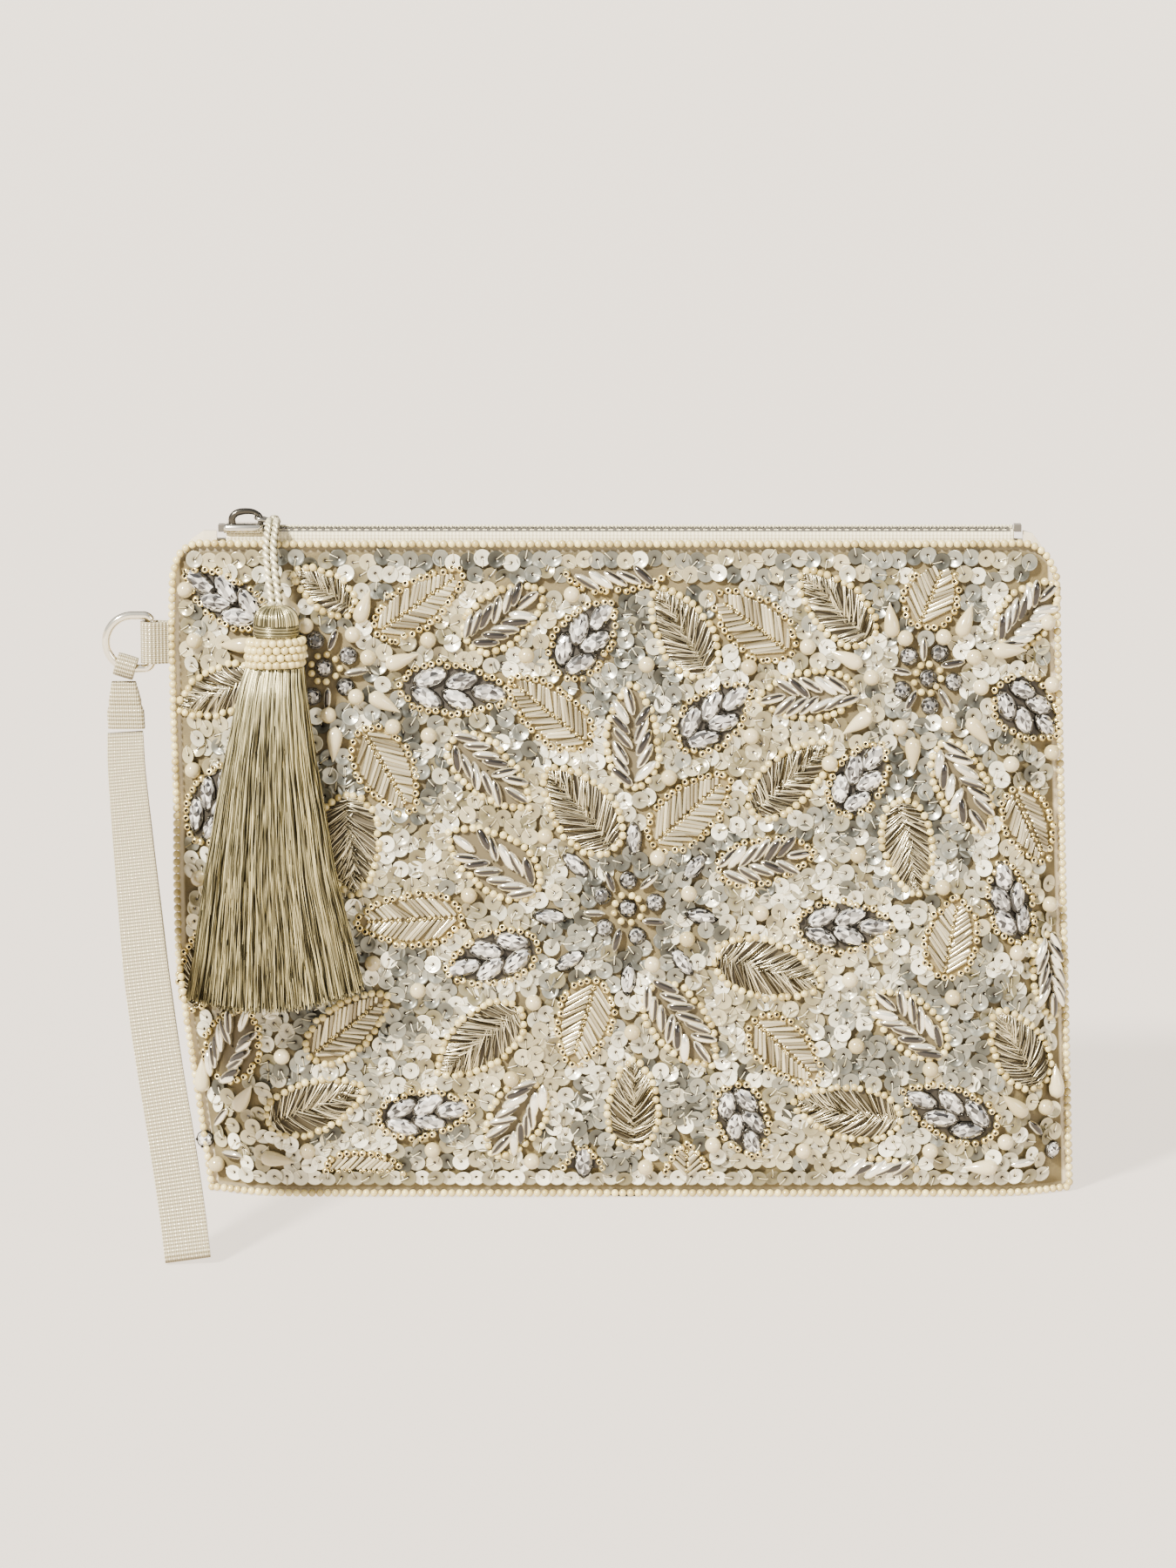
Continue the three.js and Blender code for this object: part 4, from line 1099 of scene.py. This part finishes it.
def zip_parts(made):
    """Two cloth tapes with a row of teeth and a cord each, the two stops and the folds over the ends."""
    steps = 14
    for word, way, rise in (("front", -1, 194.2), ("back", 1, 194.7)):
        low, high = low_high(word + "_zip_tape")
        section = [
            (way * 1.55, low[2]),
            (way * 1.7, TOP - 6),
            (way * 2.5, TOP - 0.6),
            (way * 2.4, rise - 0.6),
            (way * 1.7, rise),
        ]
        section = smooth_line(section, steps)
        x = np.arange(low[0], high[0] + 0.5, 0.75)
        points = np.array([[(a, y, z) for a in x] for y, z in section])
        run = np.broadcast_to(x, points.shape[:2]).reshape(-1)
        side = np.repeat(np.arange(steps) * 0.9, len(x))
        stock = Stock()
        stock.add(points.reshape(-1, 3), quads(steps, len(x)), 0.5, run=run, side=side)
        piece = stock.piece(word + "_tape", made["zip_cloth"], "bag", word + "_zip_tape", slot="zip_cloth")
        thicken(piece, 0.5)

        low, high = low_high(word + "_zip_teeth")
        pitch = 2.25
        x = np.arange(low[0] + pitch * (0.75 if way > 0 else 0.25), high[0] - 0.6, pitch)
        stock = Stock()
        tooth = [
            (-0.42, -2.1), (-0.5, -1.2), (-0.36, -0.4), (-0.5, 0.5), (-0.32, 1.05),
            (0.32, 1.05), (0.5, 0.5), (0.36, -0.4), (0.5, -1.2), (0.42, -2.1),
        ]
        outline = np.array(tooth) * [1, -way]
        rings = np.array([[(a * s, b * (0.9 + 0.1 * s), z) for a, b in outline]
                          for s, z in ((0.5, 0), (0.9, 0.1), (1, 0.4), (1, 0.9), (0.85, 1.1), (0.3, 1.2))])
        places = upright(np.stack([x, np.zeros(len(x)), np.full(len(x), low[2])], 1))
        stock.copies((rings.reshape(-1, 3), quads(6, 10, True)), places, np.full(len(x), 0.5))
        cord_x = np.linspace(low[0], high[0], 300)
        cord = np.stack([cord_x, np.full(300, way * 1.95), np.full(300, low[2] + 0.2)], 1)
        stock.add(*tube(cord, 0.3, 6), 0.5)
        stock.piece(word + "_teeth", made["tooth_metal"], "bag", word + "_zip_teeth", smooth=False,
                    slot="zip_metal")
    for name in ("zip_top_stop", "zip_bottom_stop"):
        block(made["tooth_metal"], name + "_metal", name, "bag")
    for name in ("left_zip_end", "right_zip_end"):
        block(made["satin"], name + "_satin", name, "bag", 3)


def block(look, name, node, body, levels=2):
    """A CAD piece's own shape with rounded edges, as a new piece."""
    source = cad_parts[node]
    made = bpy.data.objects.new(name, source.data.copy())
    made.data.materials.clear()
    made.data.materials.append(look.material)
    bpy.context.collection.objects.link(made)
    low, high = low_high(node)
    bevel = made.modifiers.new("rounding", "BEVEL")
    bevel.width = min(0.22 * (high - low).min(), 0.35) * MM
    bevel.segments = levels
    bevel.limit_method = "ANGLE"
    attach(made, body)
    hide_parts(node)
    return made


def ring_and_tab(made):
    low, high = low_high("d_ring")
    wire = (high[1] - low[1]) / 2
    radius = (high[2] - low[2]) / 2 - wire
    middle = (high[2] + low[2]) / 2
    bar = high[0] - wire
    arc_x = low[0] + wire + radius
    corner = 2.2
    line = []
    for cx, cz, r, start, end, steps in (
        (bar - corner, middle - radius + corner, corner, 0, -90, 8),
        (arc_x, middle, radius, -90, -270, 40),
        (bar - corner, middle + radius - corner, corner, 90, 0, 8),
    ):
        for at in np.radians(np.linspace(start, end, steps)):
            line.append((cx + r * math.cos(at), 0, cz + r * math.sin(at)))
    fine = smooth_line(line + [line[0]], 160)[:-1]
    stock = Stock()
    stock.add(*tube(fine, wire, 16, closed=True), 0.5)
    stock.piece("ring_wire", made["ring_metal"], "ring", "d_ring", slot="ring_metal")

    low, high = low_high("side_tab")
    line = [(high[0], -1), (high[0] - 3, -1.2)]
    line += [(bar + 2.65 * math.cos(a), 2.65 * math.sin(a)) for a in np.radians(np.linspace(-65, -295, 14))]
    line += [(high[0] - 3, 1.2), (high[0], 1)]
    band(made, "side_tab_webbing", "bag", "side_tab", smooth_line(line, 70), (low[2], high[2]))


# How thick the webbing of the strap and the tab is.
WEBBING_THICK = 1.1


def band(made, name, body, node, line, reach):
    """Webbing on edge: a line in plan swept between two heights."""
    columns = 24
    along = distance_along(line)
    z = np.linspace(*reach, columns)
    points = np.array([[(x, y, h) for h in z] for x, y in line])
    stock = Stock()
    stock.add(points.reshape(-1, 3), quads(len(line), columns), 0.5, run=np.repeat(along, columns),
              side=np.tile(z - z[0], len(line)))
    thicken(stock.piece(name, made["webbing"], body, node, slot="webbing"), WEBBING_THICK, 0)


# Down the middle of the strap's loop: x, y, z, and how far apart its two layers are.
STRAP_LINE = [
    (-144.2, -2.2, 134.2, 1.7), (-143.5, -7.5, 125, 4.5), (-141.2, -18, 108, 9.5), (-138.5, -30, 90, 12.5),
    (-135.6, -42.5, 71, 13.2), (-132, -54.5, 52, 12.5), (-127.9, -66.5, 33, 9), (-124.3, -77.5, 15, 4.5),
    (-122.1, -86, 2.5, 2.2),
]
STRAP_WIDTHS = (10.2, 12.7)


def square(share):
    """Fills out a sine or cosine, so that a circle turns into a square with round corners."""
    return np.sign(share) * np.abs(share) ** 0.35


def strap(made):
    """The wrist loop, its stitched fold and its turned end round the ring."""
    line = smooth_line(STRAP_LINE, 150)
    run = unit(np.gradient(line[:, :3], axis=0))
    wide = unit(np.array([1.0, 0, 0]) - run * run[:, :1])
    out = np.cross(wide, run)
    half = np.interp(np.linspace(0, 1, len(line)), (0, 0.5), STRAP_WIDTHS) / 2
    columns = 27
    t = np.linspace(-1, 1, columns)

    def layer(side):
        middle = line[:, :3] + out * (side * line[:, 3:] / 2)
        return middle[:, None] + wide[:, None] * (half[:, None] * t)[..., None]

    turn_low = (line[-1, :3] + run[-1] * 0.9) + wide[-1] * (half[-1] * t)[:, None]
    turn_top = (line[0, :3] - run[0] * 0.9) + wide[0] * (half[0] * t)[:, None]
    rows = np.concatenate([layer(1), turn_low[None], layer(-1)[::-1], turn_top[None], layer(1)[:1]])
    along = distance_along(rows[:, columns // 2])
    stock = Stock()
    stock.add(rows.reshape(-1, 3), quads(len(rows), columns), 0.5, run=np.repeat(along, columns),
              side=np.tile(t * 6.3, len(rows)))
    piece = stock.piece("wrist_strap_webbing", made["webbing"], "strap", "wrist_strap", slot="webbing")
    thicken(piece, WEBBING_THICK, 0)

    low, high = low_high("strap_fold")
    v, u = np.meshgrid(np.linspace(0, 1, 22), np.linspace(0, 2 * np.pi, 40, endpoint=False), indexing="ij")
    z = high[2] + 0.2 + (low[2] - 0.6 - high[2]) * v
    half_x = (3.5 + 1.8 * np.clip(v * 1.6, 0, 1)) * (1 - 0.06 * np.exp(-(((v - 0.5) / 0.06) ** 2)))
    half_y = 1.7 + 0.35 * np.sin(v * np.pi) - 0.45 * np.exp(-(((v - 0.5) / 0.05) ** 2))
    x = -144.6 + 0.7 * v + half_x * square(np.cos(u))
    y = -0.6 - 1.0 * v**1.3 + half_y * square(np.sin(u))
    stock = Stock()
    stock.add(np.stack([x, y, z], -1).reshape(-1, 3), quads(22, 40, True), 0.5, run=(v * 12.5).reshape(-1),
              side=(half_x * square(np.cos(u))).reshape(-1))
    stock.piece("strap_fold_webbing", made["webbing"], "strap", "strap_fold", slot="webbing")

    low, high = low_high("strap_eye")
    middle = (low + high) / 2
    ends = np.linspace(-1, 1, 12)
    at = np.linspace(0, 2 * np.pi, 30, endpoint=False)
    lean = math.radians(17)
    rows = []
    for e in ends:
        bulge = 1 - 0.05 * abs(e) ** 4
        local = np.stack([np.full(30, e * 2.9), 2.45 * bulge * np.cos(at), 2.85 * bulge * np.sin(at)], -1)
        turned = np.stack([local[:, 0] * math.cos(lean) + local[:, 2] * math.sin(lean), local[:, 1],
                           -local[:, 0] * math.sin(lean) + local[:, 2] * math.cos(lean)], -1)
        rows.append(turned + middle)
    stock = Stock()
    stock.add(np.concatenate(rows), quads(12, 30, True), 0.5, run=np.tile(at * 2.7, 12),
              side=np.repeat(ends * 3.3, 30))
    piece = stock.piece("strap_eye_webbing", made["webbing"], "strap_eye", "strap_eye", slot="webbing")
    thicken(piece, WEBBING_THICK, 0)


# ---------------------------------------------------------------- slider, puller and tassel


def slider_and_puller(made):
    """The slider's open-sided body and its crown, and the small oval puller that the tassel hangs from."""
    low, high = low_high("zip_slider")
    middle = (low[0] + high[0]) / 2
    section = [
        (-3.9, 193.3), (-3.9, 195.2), (-3.4, 195.6), (3.4, 195.6), (3.9, 195.2),
        (3.9, 193.3), (2.9, 193.3), (2.9, 195.0), (-2.9, 195.0), (-2.9, 193.3),
    ]
    # Along the slider: where, how wide, and how far its top comes down. Both ends are rounded off.
    stations = (
        (low[0], 0.86, 0.35),
        (low[0] + 0.25, 0.93, 0.12),
        (low[0] + 0.9, 1, 0),
        (middle, 1, 0),
        (high[0] - 0.9, 1, 0),
        (high[0] - 0.25, 0.93, 0.12),
        (high[0], 0.86, 0.35),
    )
    rows = [[(x, y * wide, z - drop * (z > 194)) for y, z in section] for x, wide, drop in stations]
    stock = Stock()
    stock.add(np.array(rows), quads(len(stations), len(section), True), 0.75)
    crown = [
        (-3.2, 195.3), (-3.3, 197.2), (-2.0, 198.6), (0.4, 199.1),
        (2.8, 198.9), (4.4, 197.9), (4.9, 196.6), (4.8, 195.3),
    ]
    line = np.array([(middle + x, 0, z) for x, z in smooth_line(crown, 40)])
    thick = np.interp(np.linspace(0, 1, 40), (0, 0.4, 0.7, 1), (1.1, 1.0, 0.8, 0.9))
    stock.add(*tube(line, thick, 10), 0.06)
    stock.piece("slider_body", made["dark_silver"], "slider", "zip_slider", slot="zip_metal")

    low, high = low_high("zip_puller")
    near, far, half = low[0] + 0.6, high[0] - 0.6, (high[1] - low[1]) / 2 - 0.6
    at = np.linspace(0, 2 * np.pi, 60, endpoint=False)
    x = (near + far) / 2 + (far - near) / 2 * np.sign(np.cos(at)) * np.abs(np.cos(at)) ** 0.7
    y = half * np.sign(np.sin(at)) * np.abs(np.sin(at)) ** 0.8
    z = 197.3 - 1.1 * (x - near) / (far - near)
    stock = Stock()
    stock.add(*tube(np.stack([x, y, z], 1), 0.62, 10, closed=True), 0.3)
    stock.piece("puller_loop", made["dark_silver"], "puller", "zip_puller", slot="dark_silver")


# The tassel's cords from the puller down to the head: y, z.
CORD_LINE = [
    (-1.2, 196.4), (-4.6, 196.3), (-7.8, 195.1), (-11.2, 192.2), (-14.0, 187.6), (-16.4, 182), (-18.5, 174.1),
]
HANG_HEIGHTS = (60, 75, 100, 130, 151, 158, 170, 176, 184, 190, 197)
HANG_SHIFTS = (1.5, 1.0, -0.1, -0.1, 0.7, 1.5, 1.9, 1.7, 0.5, -0.1, 0.4)


def hang(z):
    """How far right of its own middle the tassel hangs at each height."""
    return np.interp(z, HANG_HEIGHTS, HANG_SHIFTS)


def tassel(made):
    low, high = low_high("tassel_loop")
    centre_x = (low[0] + high[0]) / 2
    at = np.linspace(0, 2 * np.pi, 60, endpoint=False)
    stock = Stock()
    for row, y in enumerate((-1.0, 0.1, 1.2)):
        for ply in range(2):
            twist = at * 5 + ply * np.pi + row
            r = 1.1 + 0.3 * np.cos(twist)
            x = centre_x + 0.5 + r * np.cos(at)
            line = np.stack([x, y + 0.3 * np.sin(twist), 196.2 + r * np.sin(at)], 1)
            stock.add(*tube(line, 0.4, 7, closed=True), 0.2 + 0.5 * ply)
    stock.piece("tassel_loop_cord", made["cord"], "tassel_cord", "tassel_loop", slot="tassel_thread")

    head_low, head_high = low_high("tassel_head")
    middle_x = (head_low[0] + head_high[0]) / 2
    path = smooth_line(CORD_LINE, 110)
    run = unit(np.gradient(path, axis=0))
    along = distance_along(path)
    for name, shift in (("left", -1.05), ("right", 1.05)):
        stock = Stock()
        x = middle_x + shift + hang(path[:, 1])
        for ply in range(2):
            twist = along / 4.4 * 2 * np.pi + ply * np.pi
            line = np.stack([
                x + 0.56 * np.cos(twist),
                path[:, 0] - run[:, 1] * 0.56 * np.sin(twist),
                path[:, 1] + run[:, 0] * 0.56 * np.sin(twist),
            ], 1)
            # Each ply is painted lighter where it turns to the front and darker where it turns away, as
            # painted light and shade.
            painted_front_light = 0.45 + 0.55 * np.sin(twist + np.pi * 1.2)[:, None]
            stock.add(*tube(line, 0.6, 7), np.clip(painted_front_light + np.zeros(7), 0, 1).reshape(-1))
        nodes = ["tassel_cord"] if name == "left" else []
        piece = stock.piece("tassel_cord_" + name, made["cord"], "tassel_cord", *nodes, slot="tassel_thread")

    head_y = (head_low[1] + head_high[1]) / 2
    stock = Stock()
    dome = [(1.4, head_high[2] + 0.1), (3.6, head_high[2] - 0.3), (5.3, head_high[2] - 1.6),
            (6.1, head_high[2] - 3.6), (6.2, head_high[2] - 5.8), (5.9, head_low[2] - 0.1)]
    dome_r, z = smooth_line(dome, 12).T
    threads = 110
    for turn in np.linspace(0, 2 * np.pi, threads, endpoint=False) + rng.normal(0, 0.02, threads):
        r = dome_r * rng.uniform(0.95, 1.03)
        line = np.stack([middle_x + hang(z) + r * math.cos(turn), head_y + 0.95 * r * math.sin(turn), z], 1)
        stock.add(*tube(line, 0.24, 4), rng.uniform(0.25, 1))
    at = np.linspace(0, 2 * np.pi, 48, endpoint=False)
    for z in np.arange(head_low[2] + 0.2, head_low[2] + 3.4, 0.5):
        x = middle_x + hang(z) + 6.3 * np.cos(at)
        line = np.stack([x, head_y + 6 * np.sin(at), z + 0.2 * np.sin(at + z)], 1)
        stock.add(*tube(line, 0.3, 5, closed=True), rng.uniform(0.2, 0.7))
    inner = [(0.3, head_high[2] - 0.3), (4.6, head_high[2] - 1.6),
             (5.7, head_high[2] - 4), (5.6, head_low[2])]
    stock.add(*turned_at(middle_x + 1.8, head_y, inner), 0.3)
    stock.piece("tassel_head_wrap", made["tassel"], "tassel", "tassel_head", slot="tassel_thread")
    collar(made, middle_x)
    skirt(made, middle_x)


def turned_at(x, y, profile, sides=24, flat=0.95):
    points, faces = turned_shape(profile, sides)
    return points * [1, flat, 1] + [x, y, 0], faces


def collar(made, middle_x):
    low, high = low_high("tassel_collar")
    y = (low[1] + high[1]) / 2
    stock = Stock()
    step = (high[2] - low[2] - 0.3) / 4
    for row in range(4):
        half_x, half_y = (7.6, 7.85, 7.85, 7.6)[row], (5.15, 5.4, 5.4, 5.2)[row]
        count = 21
        at = (np.arange(count) + 0.5 * (row % 2)) * 2 * np.pi / count
        tilt = 0.035 * half_x * np.cos(at)
        z = low[2] + step * (row + 0.55)
        x = middle_x + hang(z) + half_x * np.cos(at)
        places = upright(np.stack([x, y + half_y * np.sin(at), z + tilt], 1))
        stock.copies(ball(12, 8), places, rng.uniform(0.5, 1, count), np.full((count, 3), 1.2))
    stock.add(*turned_at(middle_x + 1.2, y, [(6.9, low[2]), (7.0, high[2])], 30, 0.66), 0.5)
    stock.piece("tassel_collar_beads", made["seed_pearl"], "tassel", "tassel_collar", slot="pearl_beads")


def skirt(made, middle_x):
    """Hundreds of fine metallic threads that hang from the collar and spread towards their cut ends."""
    mesh = np.array([v.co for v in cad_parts["tassel_skirt"].data.vertices]) / MM
    heights = np.unique(np.round(mesh[:, 2], 1))[::-1]
    stations = []
    for z in heights:
        ring = mesh[np.abs(mesh[:, 2] - z) < 0.3]
        middle_y = (ring[:, 1].min() + ring[:, 1].max()) / 2
        stations.append((z, middle_y, np.ptp(ring[:, 0]) / 2, np.ptp(ring[:, 1]) / 2))
    z, y, a, b = smooth_line(stations, 40).T
    share = (z[0] - z) / (z[0] - z[-1])
    a = a * (1 + 0.1 * share**4)
    for word, count, depth in (("outer", 1500, (0.8, 1)), ("inner", 1100, (0.5, 0.8))):
        stock = Stock()
        for t in rng.uniform(0, 2 * np.pi, count):
            d = math.sqrt(rng.uniform(*depth))
            right = math.cos(t) * d
            end = 0.99 + rng.normal(0, 0.008) - 0.03 * right**2 - 0.028 * max(right, 0)
            keep = np.linspace(0, min(end, 1), 22)
            height, middle_y, half_x, half_y = (np.interp(keep, share, row) for row in (z, y, a, b))
            drift = rng.normal(0, 0.045) * keep**1.5
            drift += 0.018 * np.sin(keep * rng.uniform(4, 14) + rng.uniform(0, 6))
            line = np.stack([
                middle_x + hang(height) + half_x * d * np.cos(t + drift) * 0.985,
                middle_y + half_y * d * np.sin(t + drift) * 0.96,
                height,
            ], 1)
            # Each thread has a random tone, and it changes point by point along the thread as painted glints
            # of crinkled metal.
            glint = np.repeat(rng.choice((0.2, 0.4, 0.55, 0.95)) + rng.normal(0, 0.33, len(keep)), 3)
            stock.add(*tube(line, rng.uniform(0.12, 0.22), 3), np.clip(glint, 0, 1))
        nodes = ["tassel_skirt"] if word == "outer" else []
        stock.piece("tassel_threads_" + word, made["tassel"], "tassel", *nodes, slot="tassel_thread")
    # A dark core behind the threads, painted shade inside the tassel, closed a little above their cut ends.
    sides, last = 40, 37
    at = np.linspace(0, 2 * np.pi, sides, endpoint=False)
    rows = []
    for i in range(last + 1):
        x = middle_x + hang(z[i]) + 0.7 * a[i] * np.cos(at)
        rows.append(np.stack([x, y[i] + 0.72 * b[i] * np.sin(at), np.full(sides, z[i])], 1))
    rows.append(np.broadcast_to([middle_x, y[last], z[last] + 1.0], (sides, 3)))
    core = Stock()
    core.add(np.concatenate(rows), quads(len(rows), sides, True), 0.5)
    core.piece("tassel_inner_shade", made["tassel_core_shade"], "tassel", slot="tassel_thread")


# ---------------------------------------------------------------- floor


def floor():
    look = Look("floor", Base_Color=(0.20, 0.175, 0.145), Roughness=0.9, Emission_Color=(1, 0.875, 0.735),
                Emission_Strength=1.9)
    points, faces = turned_shape([(0.01, 0), (15, 0), (15.8, 0.3), (16.3, 1.2), (16.5, 3.5)], 64)
    mesh = bpy.data.meshes.new("floor")
    mesh.from_pydata(points.tolist(), [], faces.tolist())
    mesh.shade_smooth()
    mesh.materials.append(look.material)
    plane = bpy.data.objects.new("floor", mesh)
    bpy.context.collection.objects.link(plane)


camera_and_light()
made = looks()
tassel(made)
strap(made)
ring_and_tab(made)
slider_and_puller(made)
zip_parts(made)
cloth_panels(made)
edge_row(made)
embroidery(made)
floor()
